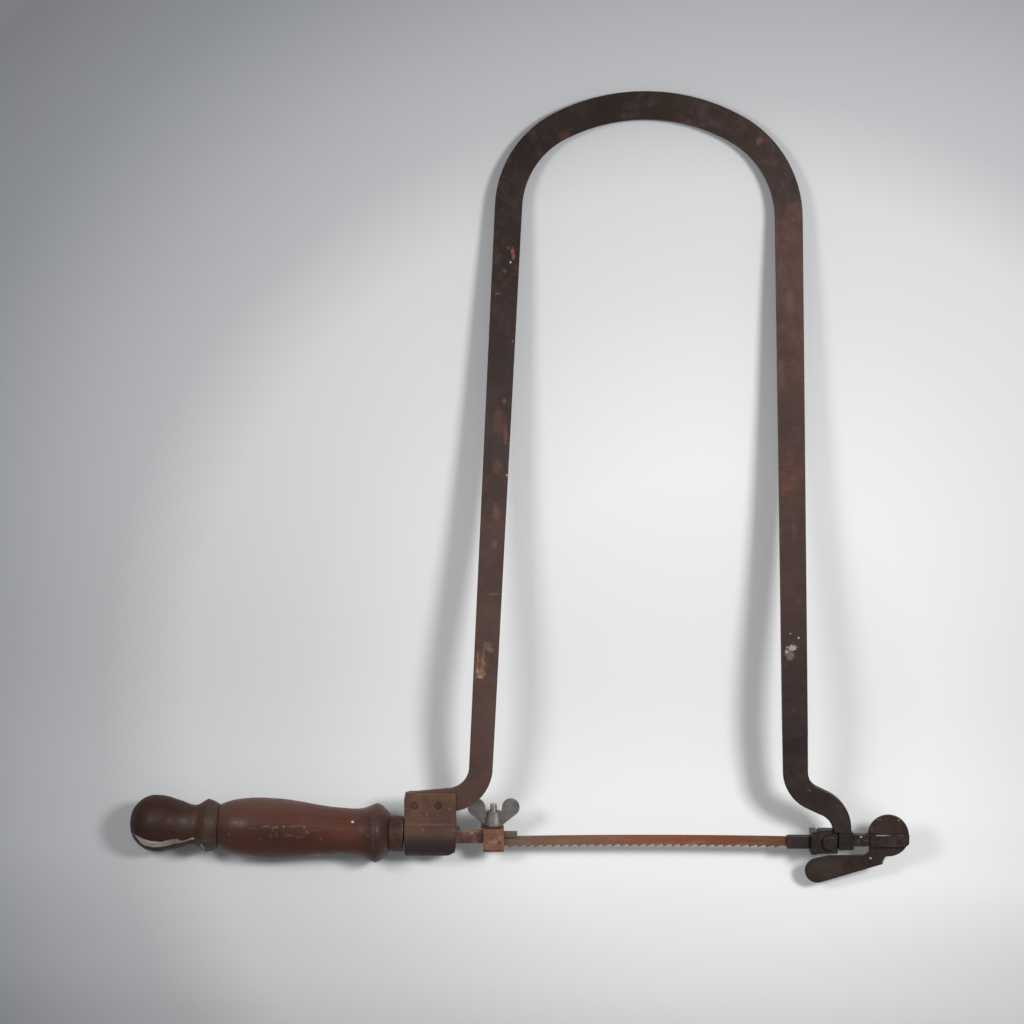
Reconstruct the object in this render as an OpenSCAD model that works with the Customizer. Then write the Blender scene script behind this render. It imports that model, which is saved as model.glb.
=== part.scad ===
// Deep-throat fret saw. A tapered flat-iron bow stands over the blade. Its rear foot is riveted
// into a folded bracket that carries a square bar, a turned handle and a screw-down saddle for
// the blade. Its front toe carries a guide for a sliding jaw bar with a cam lever at its end.
// Millimetres. The origin is midway along the blade, +X runs to the front jaw, +Y runs up the
// throat to the crown of the bow, and +Z is square to the bow. The flat iron stands in front of
// the plane of the blade, so that the wing nut clears it.

/* [Blade] */
// Length of the blade from end to end
blade_l = 127; // [120:0.5:130]
// Height of the blade's body, from its back to the roots of its teeth
blade_h = 4; // [3:0.1:4.2]
// Thickness of the blade
blade_t = 0.7; // [0.4:0.05:0.8]
// Rise of the slack blade at its middle
blade_bow = 0.7; // [0:0.1:1.2]
// Distance from one tooth to the next
tooth_pitch = 3.6; // [2:0.1:5]
// Depth of a tooth below its root
tooth_depth = 0.85; // [0.4:0.05:1]

/* [Bow] */
// Thickness of the flat iron of the bow
strap_t = 3.2; // [2.5:0.1:4]
// Clear height from the blade's line to the inside of the crown
throat_h = 299.5; // [240:1:340]
// Width of the iron at the rear foot
foot_w = 9.4; // [7:0.1:9.8]
// Width of the iron low on the rear leg
rear_leg_w = 9.9; // [8:0.1:11]
// Width of the iron at the crown
crown_w = 11.5; // [9:0.1:14]
// Width of the iron low on the front leg
front_leg_w = 10.5; // [8:0.1:11]
// Width of the iron on the toe's slanting stretch
toe_mid_w = 10.1; // [8:0.1:11]
// Width of the iron at the end of the toe
toe_w = 7.2; // [6.8:0.1:9.5]
// Lean of the rear leg away from square, in degrees
rear_lean = 2.85; // [1:0.1:4]
// Lean of the front leg away from square, in degrees
front_lean = 1.3; // [0:0.1:3]
// Centreline radius of the rear shoulder
rear_shoulder_r = 38; // [30:1:44]
// Centreline radius of the front shoulder
front_shoulder_r = 42; // [34:1:46]
// Turn of each shoulder, in degrees
shoulder_turn = 60; // [54:1:66]
// Slope of the rear foot, in degrees
foot_slope = 5; // [0:0.5:8]
// Length of the straight part of the foot
foot_run = 18.5; // [16:0.1:22]
// Centreline radius of the bend from foot to leg
foot_bend_r = 14; // [10:0.5:18]

/* [Toe] */
// Length of the straight stretch between the leg's brazed joint and the first bend
toe_drop = 15; // [8:0.5:24]
// Centreline radius of the first bend
toe_bend_r = 11.9; // [10:0.1:14]
// Turn of the first bend, in degrees
toe_turn = 63; // [58:1:68]
// Length of the slanting stretch between the bends
toe_run = 6.3; // [5:0.1:10]
// Centreline radius of the second bend
toe_end_r = 13; // [8:0.1:14]
// Length of the straight stretch that stands on the guide
toe_seat = 2.2; // [1.5:0.1:6]
// Lean of the toe's end away from square, in degrees
toe_lean = 5; // [2:0.5:8]

/* [Bracket] */
// Thickness of the folded sheet
sheet_t = 1.2; // [0.8:0.1:1.5]
// Outer radius of the barrel that the sheet is folded into
barrel_r = 8.1; // [7:0.1:8.4]
// Length of the bracket along the bar
bracket_l = 21.6; // [18:0.1:26]
// Height of the flat leaves above the axis of the barrel
leaf_h = 19.5; // [17:0.1:21]
// Radius of the leaves' rear top corner
leaf_corner_r = 2.8; // [1:0.1:4]
// Radius of the barrel's front bottom corner
barrel_corner_r = 5.8; // [3:0.1:7]
// Radius of the rivets
rivet_r = 1.55; // [1:0.05:2]
// Distance between the two rivets
rivet_pitch = 10; // [8:0.1:12]
// Height of the rivets above the axis of the barrel
rivet_h = 13.9; // [12.5:0.1:14.5]

/* [Rear bar] */
// Side of the square bar
bar_side = 4.9; // [4:0.1:5.2]
// Height of the bar's axis above the blade's line
bar_rise = 2.05; // [1.5:0.05:2.2]
// Length of bar that shows in front of the bracket
bar_reach = 25.6; // [24.5:0.1:28]
// Radius of the round tang inside the handle
tang_r = 2.3; // [1.8:0.1:2.6]
// Radius of the pin that keys the bar in the barrel
key_r = 0.8; // [0.5:0.05:1]

/* [Saddle clamp] */
// Length of the saddle along the bar
saddle_l = 8.6; // [7:0.1:9.5]
// Thickness of the saddle's walls
saddle_wall = 1.2; // [0.8:0.1:1.6]
// Distance from the tip of the bar to the saddle
saddle_back = 5.6; // [4:0.1:6.5]
// Radius of the clamp's stud
stud_r = 1.55; // [1.2:0.05:1.8]
// Height of the stud's top above the blade's line
stud_top = 16; // [15:0.1:20]
// Thread pitch of the stud
stud_pitch = 0.635; // [0.4:0.005:0.8]
// Side of the square washer
washer_side = 8.4; // [7:0.1:9.5]
// Distance of the washer's middle behind the stud
washer_shift = 1.2; // [0:0.1:1.5]
// Thickness of the square washer
washer_t = 0.8; // [0.5:0.1:1.2]

/* [Wing nut] */
// Radius of the hub at its base
hub_base_r = 4; // [3.5:0.05:4.5]
// Radius of the hub at its top
hub_top_r = 2.8; // [2.4:0.05:3.2]
// Height of the hub
hub_h = 6.1; // [5:0.1:7.5]
// Radius of each wing's round end
wing_r = 3.7; // [3:0.1:4.2]
// Distance from the stud's axis to the middle of a wing's round end
wing_reach = 7.2; // [6.8:0.1:8]
// Thickness of the wings
wing_t = 1.4; // [1:0.1:1.8]

/* [Handle] */
// Tilt of the handle's axis to the bar, in degrees
handle_tilt = 2.6; // [0:0.1:4]
// Length of the turned grip
grip_l = 71.3; // [60:0.5:90]
// Largest radius of the grip
grip_r = 12.6; // [10:0.1:14]
// Length of the ferrule
ferrule_l = 6; // [4:0.1:9]
// Outer radius of the ferrule
ferrule_r = 7.5; // [6.5:0.1:7.8]
// Wall of the ferrule
ferrule_wall = 1.1; // [0.6:0.1:1.4]
// Length of the end knob
knob_l = 37.2; // [30:0.5:45]
// Largest radius of the end knob
knob_r = 11.8; // [9:0.1:13]
// Distance across the flats of the nut let into the knob
knob_nut_flats = 8; // [6:0.1:9]
// Radius of the brad that pins the grip to the tang
brad_r = 0.7; // [0.4:0.05:1]

/* [Jaw bar] */
// Height of the sliding bar's axis above the blade's line
slide_rise = 0.6; // [0:0.05:0.8]
// Height of the sliding bar
slide_h = 4.9; // [3.6:0.1:5.2]
// Depth of the sliding bar
slide_d = 4; // [3:0.1:4.4]
// Height of the jaws
jaw_h = 5.1; // [4.6:0.1:5.6]
// Distance of the jaws' axis below the blade's line
jaw_drop = 0.25; // [0:0.05:0.4]
// Depth of both jaws together
jaw_d = 4.2; // [3.6:0.1:5]
// Length of blade held inside the jaws
jaw_grip = 4.2; // [3:0.1:6]
// Length of the jaws from their tip to the collar
jaw_l = 9.8; // [9:0.1:12]
// Height of the clamp block
block_h = 10.1; // [9:0.1:10.4]
// Height of the clamp block's middle above the blade's line
block_rise = 0.15; // [0:0.05:0.8]
// Depth of the clamp block
block_d = 5; // [4.6:0.1:7]
// Length of the clamp block
block_l = 8.8; // [7.6:0.1:9.4]
// Height of the square collar in front of the block
collar_h = 9.8; // [9:0.1:10.4]
// Depth of the square collar
collar_d = 8.6; // [7:0.1:9.4]
// Length of the square collar along the bar
collar_l = 2.5; // [2:0.1:3.6]
// Bevel at the block's upper corner beside the collar
block_bevel = 1.1; // [0.6:0.1:1.6]
// Radius of the clamp bolt's shank
bolt_r = 1.5; // [1.2:0.05:1.8]
// Radius of the clamp bolt's round head
bolt_head_r = 3.3; // [2.6:0.1:3.6]
// Height of the clamp bolt's round head
bolt_head_h = 1.7; // [1:0.1:2.4]
// Side of the clamp bolt's square nut
bolt_nut_side = 5; // [4.5:0.1:6]
// Thickness of the clamp bolt's square nut
bolt_nut_t = 2; // [1.4:0.1:2.6]
// Length of the guide on the toe
guide_l = 6.3; // [5:0.1:8]
// Thickness of the guide's lower and rear walls
guide_wall = 1.1; // [0.6:0.05:1.3]
// Thickness of the guide's upper wall, which carries the toe
guide_roof = 1.1; // [0.8:0.1:2]
// Length of the fork at the bar's outer end
fork_l = 16.2; // [15:0.1:20]
// Height of the fork
fork_h = 5.2; // [4.6:0.1:6]
// Depth of the fork
fork_d = 5.6; // [5:0.1:7]
// Clear length of bar between the guide and the fork
slide_gap = 7.2; // [6.6:0.1:10]

/* [Cam lever] */
// Thickness of the lever
lever_t = 1.6; // [1:0.1:2]
// Radius of the cam
cam_r = 8.6; // [7.5:0.1:9]
// Growth of the cam's radius from its top round to its heel, as a share
cam_growth = 0.065; // [0.03:0.005:0.1]
// Distance of the cam's middle behind its pivot
cam_back = 4.4; // [3.6:0.1:4.8]
// Distance of the cam's middle above its pivot
cam_up = 2.7; // [2:0.1:3.2]
// Distance of the pivot from the fork's end
pivot_inset = 4.1; // [3.5:0.1:5]
// Radius of the lever's pivot rivet
pivot_r = 1; // [0.7:0.05:1.3]
// Distance from the pivot to the middle of the arm's round end, along the bar
arm_l = 34; // [30:0.1:38]
// Distance of the arm's round end below the bar's axis
arm_drop = 12.5; // [11:0.1:13.5]
// Radius of the arm's round end
arm_end_r = 5.2; // [4.6:0.1:6.2]
// Distance of the arm's upper edge below the bar's axis
arm_top = 5.8; // [5.6:0.1:6.4]
// Radius of the fillet where the arm meets the cam
arm_fillet_r = 2.6; // [2:0.1:4]

/* [Hidden] */
$fn = 64;
// Largest turn between two points of an arc, in degrees
arc_step = 4;
// Running clearance between a moving piece and what guides it
run_gap = 0.05;
// Clearance between flat faces of pieces that move past each other
face_gap = 0.2;
// Overrun of a cut past the face that it opens
over = 0.5;

// Places along the bar, from the rear to the front
jaw_tip_x = blade_l / 2 - jaw_grip;
collar_x = jaw_tip_x + jaw_l;
block_x = collar_x + collar_l;
guide_x = block_x + block_l + face_gap;
guide_end_x = guide_x + guide_l;
fork_x = guide_end_x + slide_gap;
fork_end_x = fork_x + fork_l;
pivot_x = fork_end_x - pivot_inset;
bolt_x = block_x + block_l - bolt_head_r - face_gap / 2;
saddle_x = -blade_l / 2 - jaw_grip - face_gap * 2;
bar_tip_x = saddle_x + saddle_l + saddle_back;
barrel_x = bar_tip_x - bar_reach;
bracket_x = barrel_x - bracket_l;
stud_x = saddle_x + saddle_l / 2;

// The route of the bow is a list of stretches, each a length and a turn: a turn of zero is a
// straight of that length, and any other turn is an arc of that radius. A place on the route
// is [x, y, heading, travelled].
function moved(at, stretch, share) =
    let (turn = stretch[1] * share, r = sign(stretch[1]) * stretch[0], run = stretch[0] * share)
    turn == 0
        ? [at[0] + run * cos(at[2]), at[1] + run * sin(at[2]), at[2], at[3] + run]
        : [at[0] + r * (sin(at[2] + turn) - sin(at[2])),
           at[1] - r * (cos(at[2] + turn) - cos(at[2])),
           at[2] + turn,
           at[3] + abs(turn) * PI / 180 * stretch[0]];
function last_place(at, route, i = 0) =
    i == len(route) ? at : last_place(moved(at, route[i], 1), route, i + 1);
function places(at, route, i = 0) =
    i == len(route) ? [at] :
    let (steps = max(1, ceil(abs(route[i][1]) / arc_step)))
    concat([for (k = [0 : steps - 1]) moved(at, route[i], k / steps)],
        places(moved(at, route[i], 1), route, i + 1));
// The two edges of a strip along such places, as wide at each as a table of widths says
function strip(at, route, widths) =
    let (p = places(at, route), last = len(p) - 1)
    concat(
        [for (q = p) edge_point(q, lookup(q[3], widths) / 2)],
        [for (i = [last : -1 : 0]) edge_point(p[i], -lookup(p[i][3], widths) / 2)]);
function edge_point(q, out) = [q[0] - out * sin(q[2]), q[1] + out * cos(q[2])];

// Displacement of an arc of unit radius that turns clockwise from one heading to another
function arc_x(from, to) = sin(from) - sin(to);
function arc_y(from, to) = cos(to) - cos(from);

// The flat iron lies wholly in front of the wing nut's wings
bow_back = wing_t / 2 + run_gap * 2;
bow_front = bow_back + strap_t;

// Rear foot: where it starts in the bracket, and the place where its leg starts
foot_inset = face_gap * 4;
foot_y = bar_rise + rivet_h + sheet_t / 2;
foot_start = [bracket_x + foot_inset, foot_y, foot_slope, 0];
rear_heading = 90 - rear_lean;
foot_route = [[foot_run, 0], [foot_bend_r, rear_heading - foot_slope]];
rear_leg_start = last_place(foot_start, foot_route);

// Front toe: it ends square on top of the guide, so its start follows from its own route
front_heading = front_lean - 90;
toe_heading = front_heading + toe_turn;
toe_route = [[toe_drop, 0], [toe_bend_r, toe_turn], [toe_run, 0],
    [toe_end_r, toe_lean - 90 - toe_heading], [toe_seat, 0]];
guide_top = slide_rise + slide_h / 2 + run_gap + guide_roof;
toe_span = last_place([0, 0, front_heading, 0], toe_route);
toe_end_x = guide_end_x - toe_w / 2 - guide_wall;
toe_sink = toe_w / 2 * sin(toe_lean);
toe_start = [toe_end_x - toe_span[0], guide_top - toe_sink - toe_span[1], front_heading, 0];

// The legs' lengths and the crown's radius close the bow between those two places
crown_y = throat_h + crown_w / 2;
rear_turned = rear_heading - shoulder_turn;
front_turned = front_heading + shoulder_turn;
rear_rise = crown_y - rear_leg_start[1] - rear_shoulder_r * arc_y(rear_heading, rear_turned);
front_rise = crown_y - toe_start[1] - front_shoulder_r * (cos(front_turned) - cos(front_heading));
bow_span = toe_start[0] - rear_leg_start[0]
    - rear_shoulder_r * arc_x(rear_heading, rear_turned)
    - front_shoulder_r * arc_x(front_turned, front_heading)
    - rear_rise / tan(rear_heading) - front_rise / tan(-front_heading);
crown_r = bow_span / (arc_x(rear_turned, front_turned)
    - (1 - cos(rear_turned)) / tan(rear_heading)
    - (1 - cos(front_turned)) / tan(-front_heading));
rear_leg_l = (rear_rise - crown_r * (1 - cos(rear_turned))) / sin(rear_heading);
front_leg_l = (front_rise - crown_r * (1 - cos(front_turned))) / sin(-front_heading);
bow_route = concat(foot_route, [[rear_leg_l, 0], [rear_shoulder_r, -shoulder_turn],
    [crown_r, front_turned - rear_turned], [front_shoulder_r, -shoulder_turn],
    [front_leg_l, 0]]);
bow_run = last_place(foot_start, bow_route)[3];
crown_run = bow_run / 2;
bow_widths = [[0, foot_w], [rear_leg_start[3], rear_leg_w], [crown_run, crown_w],
    [bow_run, front_leg_w]];
toe_bent = last_place([0, 0, front_heading, 0], [toe_route[0], toe_route[1], toe_route[2]])[3];
toe_widths = [[0, front_leg_w], [toe_bent, toe_mid_w], [toe_span[3], toe_w]];

// The handle's own axis leaves the bar at the mouth of the barrel. Distances along it run
// outwards from there.
barrel_out = bracket_l / cos(handle_tilt);
ferrule_s = barrel_out + ferrule_r * sin(handle_tilt) + face_gap;
grip_s = ferrule_s + ferrule_l;
knob_s = grip_s + grip_l + face_gap;
knob_nut_t = knob_nut_flats * 0.55;
tang_thread = knob_nut_t * 2;
tang_l = knob_s + tang_thread;
tenon_r = ferrule_r - ferrule_wall - run_gap;
bush_gap = run_gap / 2;
brad_s = grip_s + grip_l * 0.215;
brad_angle = 38;
brad_waist_r = grip_r * 0.772;

// Outline of the turned grip, from its front bead to its rear end, and of the knob, from its
// collar to its round end: shares of the length and of the largest radius
grip_shares = [[0, 0.664], [0.012, 0.745], [0.034, 0.862], [0.056, 0.947], [0.076, 0.982],
    [0.097, 0.947], [0.127, 0.870], [0.158, 0.808], [0.197, 0.772], [0.259, 0.775],
    [0.338, 0.796], [0.431, 0.850], [0.525, 0.925], [0.620, 0.980], [0.714, 1],
    [0.808, 0.985], [0.878, 0.934], [0.926, 0.878], [0.962, 0.808], [0.990, 0.738], [1, 0.690]];
knob_shares = [[0, 0.780], [0.045, 0.852], [0.090, 0.905], [0.135, 0.940], [0.175, 0.862],
    [0.225, 0.755], [0.271, 0.707], [0.330, 0.722], [0.406, 0.809], [0.496, 0.888],
    [0.586, 0.964], [0.690, 1], [0.780, 0.975], [0.857, 0.868], [0.915, 0.710],
    [0.965, 0.500], [0.990, 0.270], [1, 0]];
curve_steps = 3;
// A smooth curve through a table of points, and its mix of four neighbours
function curve(p) =
    let (last = len(p) - 1)
    concat([for (i = [0 : last - 1], k = [0 : curve_steps - 1])
        blend4(p[max(0, i - 1)], p[i], p[i + 1], p[min(last, i + 2)], k / curve_steps)], [p[last]]);
function blend4(a, b, c, d, t) =
    (2 * b + (c - a) * t + (2 * a - 5 * b + 4 * c - d) * t * t
    + (3 * b - a - 3 * c + d) * t * t * t) / 2;
function turned(shares, r, l) = [for (q = curve(shares)) [max(0, q[1]) * r, q[0] * l]];

// Points of an arc about a centre
function arc(centre, r, from, to) =
    let (steps = max(1, ceil(abs(to - from) / (arc_step * 2))))
    [for (k = [0 : steps]) let (a = from + (to - from) * k / steps)
        [centre[0] + r * cos(a), centre[1] + r * sin(a)]];

// Colours of the materials
iron = "#4a3a36";
rust = "#7a5a48";
zinc = "#8a8784";
steel = "#8a6a54";
wood = "#5a382c";

// A flat piece in the blade's plane, given as an outline in X and Y
module flat_piece(thickness) {
    linear_extrude(height = thickness, center = true) children();
}

// A piece of the bow's flat iron, given as an outline in X and Y
module flat_iron() {
    translate([0, 0, bow_back]) linear_extrude(height = strap_t) children();
}

// A prism along X from a given place, its section drawn in Y and Z
module section_along_x(from, length) {
    translate([from, 0, 0]) rotate([90, 0, 90]) linear_extrude(height = length) children();
}

// A block along a bar whose axis runs at a given height over the blade's line
module bar_block(from, length, height, depth, rise = slide_rise) {
    translate([from, rise - height / 2, -depth / 2]) cube([length, height, depth]);
}

// Places its children on the handle's axis, their +Z running outwards along it
module on_handle_axis() {
    translate([barrel_x, bar_rise, 0]) rotate([0, 0, -handle_tilt]) rotate([0, -90, 0]) children();
}

// A round rod that stands up along +Y on the stud's axis
module on_stud_axis(height) {
    translate([stud_x, height, 0]) rotate([-90, 0, 0]) children();
}

// Flat-iron bow from its foot in the bracket, up over the crown and down to the toe's joint
module frame_bow() {
    color(iron) difference() {
        flat_iron() polygon(strip(foot_start, bow_route, bow_widths));
        rivet_row(rivet_r + bush_gap, over);
    }
}

// S-shaped toe, brazed to the front leg and standing on the guide
module frame_toe() {
    color(iron) intersection() {
        flat_iron() polygon(strip(toe_start, toe_route, toe_widths));
        translate([0, guide_top, 0]) cube([guide_end_x * 2, throat_h, bow_front + over]);
    }
}

// Square sleeve round the sliding bar, its front face level with the toe's
guide_low = slide_rise - slide_h / 2 - run_gap - guide_wall;
guide_rear = -slide_d / 2 - run_gap - guide_wall;
module guide_sleeve() {
    color(iron) difference() {
        translate([guide_x, guide_low, guide_rear])
            cube([guide_l, guide_top - guide_low, bow_front - guide_rear]);
        bar_block(guide_x - over, guide_l + 2 * over, slide_h + 2 * run_gap, slide_d + 2 * run_gap);
    }
}

// The two places where rivets go through the leaves and the foot, running past both leaves
leaf_back = bow_back - sheet_t;
leaf_front = bow_front + sheet_t;
module rivet_row(r, past = 0) {
    for (side = [-1, 1])
        translate([bracket_x + bracket_l * 0.43 + side * rivet_pitch / 2, bar_rise + rivet_h,
            leaf_back - past])
            cylinder(h = leaf_front - leaf_back + 2 * past, r = r);
}

// Outline of the bracket seen square to the bow, with its worn corners
leaf_front_r = leaf_corner_r / 4;
bracket_outline = concat(
    arc([bracket_l - barrel_corner_r, barrel_corner_r - barrel_r], barrel_corner_r, -90, 0),
    arc([bracket_l - leaf_front_r, leaf_h - leaf_front_r], leaf_front_r, 0, 90),
    arc([leaf_corner_r, leaf_h - leaf_corner_r], leaf_corner_r, 90, 180),
    [[0, -barrel_r]]);

// Bracket folded from one sheet: a barrel round the bush and two leaves up over the foot
module handle_bracket() {
    color(rust) difference() {
        intersection() {
            translate([0, bar_rise, 0]) section_along_x(bracket_x, bracket_l) difference() {
                union() {
                    circle(r = barrel_r);
                    translate([0, leaf_back]) square([leaf_h, leaf_front - leaf_back]);
                }
                circle(r = barrel_r - sheet_t);
                translate([0, bow_back]) square([leaf_h + over, strap_t]);
            }
            translate([bracket_x, bar_rise, 0]) flat_piece(barrel_r * 2 + over)
                polygon(bracket_outline);
        }
        rivet_row(rivet_r + bush_gap, over);
    }
}

// Two iron rivets, hammered level with the leaves
module bracket_rivets() {
    color(rust) rivet_row(rivet_r);
}

// Steel plug that fills the barrel and holds the bar, its tang and the key
bush_inset = face_gap * 3;
bush_x = bracket_x + bush_inset;
bush_l = bracket_l - 2 * bush_inset;
bar_sink = bush_l / 4;
key_y = bar_rise + bar_side / 2 + key_r * 1.6;
module barrel_bush() {
    color(iron) difference() {
        translate([bush_x, bar_rise, 0]) rotate([0, 90, 0])
            cylinder(h = bush_l, r = barrel_r - sheet_t - bush_gap);
        bar_block(barrel_x - bush_inset - bar_sink, bar_sink + bush_inset + over,
            bar_side + 2 * bush_gap, bar_side + 2 * bush_gap, bar_rise);
        on_handle_axis() cylinder(h = barrel_out * 2, r = tang_r + bush_gap);
        translate([barrel_x - key_l, key_y, 0]) rotate([0, 90, 0])
            cylinder(h = key_l + over, r = key_r + bush_gap);
    }
}

// Square bar: its sunk end and tang lie inside barrel and handle, and its front end is cut
// away below and in front so that the blade lies on its flat
ledge_y = blade_h / 2 + face_gap;
rebate_l = saddle_l + saddle_back + face_gap;
tip_step = bar_side * 0.14;
module rear_bar() {
    color(rust) union() {
        difference() {
            bar_block(barrel_x - bush_inset - bar_sink, bar_reach + bush_inset + bar_sink,
                bar_side, bar_side, bar_rise);
            translate([bar_tip_x - rebate_l, ledge_y - bar_side, -blade_t / 2])
                cube([rebate_l + over, bar_side, bar_side]);
            translate([bar_tip_x - saddle_back, bar_rise + bar_side / 2 - tip_step, -bar_side])
                cube([bar_side * 2, bar_side, bar_side * 2]);
            on_stud_axis(ledge_y) cylinder(h = bar_side, r = stud_r);
        }
        on_handle_axis() cylinder(h = tang_l, r = tang_r);
    }
}

// Round pin driven in beside the bar to key it in the barrel
key_l = bracket_l / 2;
key_proud = key_r * 2.2;
module bar_key() {
    color(zinc) translate([barrel_x - key_l, key_y, 0]) rotate([0, 90, 0])
        cylinder(h = key_l + key_proud, r = key_r);
}

// Screwed stud that stands in the top of the bar
module clamp_stud() {
    color(zinc) on_stud_axis(ledge_y) cylinder(h = stud_top - ledge_y, r = stud_r);
}

// Saddle over the bar: a back leg, a roof and a thick front jaw that presses on the blade
roof_y = bar_rise + bar_side / 2 + face_gap * 2;
roof_top = roof_y + saddle_wall;
nose_z = blade_t / 2 + run_gap * 2;
leg_z = bar_side / 2 + run_gap * 2;
saddle_out = leg_z + saddle_wall;
saddle_low = -blade_h / 2 - tooth_depth - saddle_wall;
lip_chamfer = saddle_wall * 0.9;
module blade_saddle() {
    color(rust) difference() {
        section_along_x(saddle_x, saddle_l) polygon([
            [roof_top, -saddle_out], [roof_top, saddle_out],
            [saddle_low + lip_chamfer, saddle_out], [saddle_low, saddle_out - lip_chamfer],
            [saddle_low, nose_z], [ledge_y - face_gap, nose_z], [ledge_y - face_gap, leg_z],
            [roof_y, leg_z], [roof_y, -leg_z],
            [saddle_low, -leg_z], [saddle_low + lip_chamfer, -saddle_out]]);
        on_stud_axis(roof_y - over) cylinder(h = saddle_wall + 2 * over, r = stud_r + face_gap);
    }
}

// Square washer between the saddle and the wing nut, pushed a little to the rear
module square_washer() {
    color(rust) difference() {
        on_stud_axis(roof_top)
            translate([-washer_side / 2 - washer_shift, -washer_side / 2, 0])
                cube([washer_side, washer_side, washer_t]);
        on_stud_axis(roof_top - over) cylinder(h = washer_t + 2 * over, r = stud_r + face_gap);
    }
}

// Wing nut, its two wings in the plane of the blade
hub_y = roof_top + washer_t;
wing_mid = hub_h + wing_r * 0.41;
wing_root = hub_base_r * 0.95;
wing_foot = hub_h * 0.03;
// Angle of the straight lower edge that runs from the hub's foot to touch the round end
wing_run = norm([wing_reach - wing_root, wing_mid - wing_foot]);
wing_slope = atan2(wing_mid - wing_foot, wing_reach - wing_root) - asin(wing_r / wing_run);
wing_outline = concat([[0, hub_h * 0.2], [wing_root, wing_foot]],
    arc([wing_reach, wing_mid], wing_r, wing_slope - 90, 180),
    [[hub_top_r * 1.15, hub_h * 0.985], [0, hub_h * 0.9]]);
module wing_nut() {
    color(zinc) difference() {
        union() {
            on_stud_axis(hub_y) cylinder(h = hub_h, r1 = hub_base_r, r2 = hub_top_r);
            for (side = [0, 180])
                translate([stud_x, hub_y, 0]) rotate([0, side, 0])
                    flat_piece(wing_t) polygon(wing_outline);
        }
        on_stud_axis(hub_y - over) cylinder(h = hub_h * 1.2 + over, r = stud_r + run_gap);
    }
}

// Blade, slack and slightly bowed, its teeth leaning towards the handle
tooth_share = 0.08;
gullet_share = 0.72;
toothed_l = blade_l - 2 * jaw_grip;
teeth = floor(toothed_l / tooth_pitch);
back_steps = 24;
function bow_at(x) = blade_bow * (1 - pow(2 * x / blade_l, 2));
function low_point(x, drop) = [x, bow_at(x) - blade_h / 2 - drop];
blade_outline = concat(
    [for (i = [0 : back_steps]) let (x = blade_l * (0.5 - i / back_steps))
        [x, bow_at(x) + blade_h / 2]],
    [low_point(-blade_l / 2, 0)],
    [for (i = [0 : teeth - 1], k = [0 : 2])
        let (x = -teeth * tooth_pitch / 2 + i * tooth_pitch, along = [0, tooth_share, gullet_share])
        low_point(x + along[k] * tooth_pitch, k == 1 ? tooth_depth : 0)],
    [low_point(blade_l / 2, 0)]);
module blade() {
    color(steel) flat_piece(blade_t) polygon(blade_outline);
}

// Iron ferrule over the grip's front tenon
module handle_ferrule() {
    color(iron) on_handle_axis() translate([0, 0, ferrule_s]) difference() {
        cylinder(h = ferrule_l, r = ferrule_r);
        translate([0, 0, -over]) cylinder(h = ferrule_l + 2 * over, r = ferrule_r - ferrule_wall);
    }
}

// The brad's hole or the brad itself, from the tang out to the grip's surface
module brad_rod(r, from, to) {
    translate([0, 0, brad_s]) rotate([0, 90, brad_angle]) translate([0, 0, from])
        cylinder(h = to - from, r = r);
}

// Turned wooden grip with its front bead and tenon, bored for the tang
module handle_grip() {
    color(wood) on_handle_axis() difference() {
        union() {
            translate([0, 0, grip_s]) rotate_extrude()
                polygon(concat([[0, 0]], turned(grip_shares, grip_r, grip_l), [[0, grip_l]]));
            translate([0, 0, ferrule_s]) cylinder(h = ferrule_l + over, r = tenon_r);
        }
        translate([0, 0, ferrule_s - over])
            cylinder(h = ferrule_l + grip_l + 2 * over, r = tang_r + run_gap);
        brad_rod(brad_r + bush_gap, tang_r, grip_r);
    }
}

// Small steel brad through the grip's waist to the tang
module grip_brad() {
    color(zinc) on_handle_axis() brad_rod(brad_r, tang_r + bush_gap, brad_waist_r);
}

// Turned end knob, screwed on to the tang against the grip
module end_knob() {
    color(wood) on_handle_axis() translate([0, 0, knob_s]) difference() {
        rotate_extrude() polygon(concat([[0, 0]], turned(knob_shares, knob_r, knob_l)));
        translate([0, 0, -over]) cylinder(h = tang_thread + 2 * over, r = tang_r + run_gap);
        translate([0, 0, -over])
            cylinder(h = knob_nut_t + over + bush_gap, r = knob_nut_flats / sqrt(3) + bush_gap, $fn = 6);
    }
}

// Six-sided nut let into the knob's face, on the tang's thread
module knob_nut() {
    color(zinc) on_handle_axis() translate([0, 0, knob_s]) difference() {
        cylinder(h = knob_nut_t, r = knob_nut_flats / sqrt(3), $fn = 6);
        translate([0, 0, -over]) cylinder(h = knob_nut_t + 2 * over, r = tang_r + run_gap);
    }
}

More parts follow.
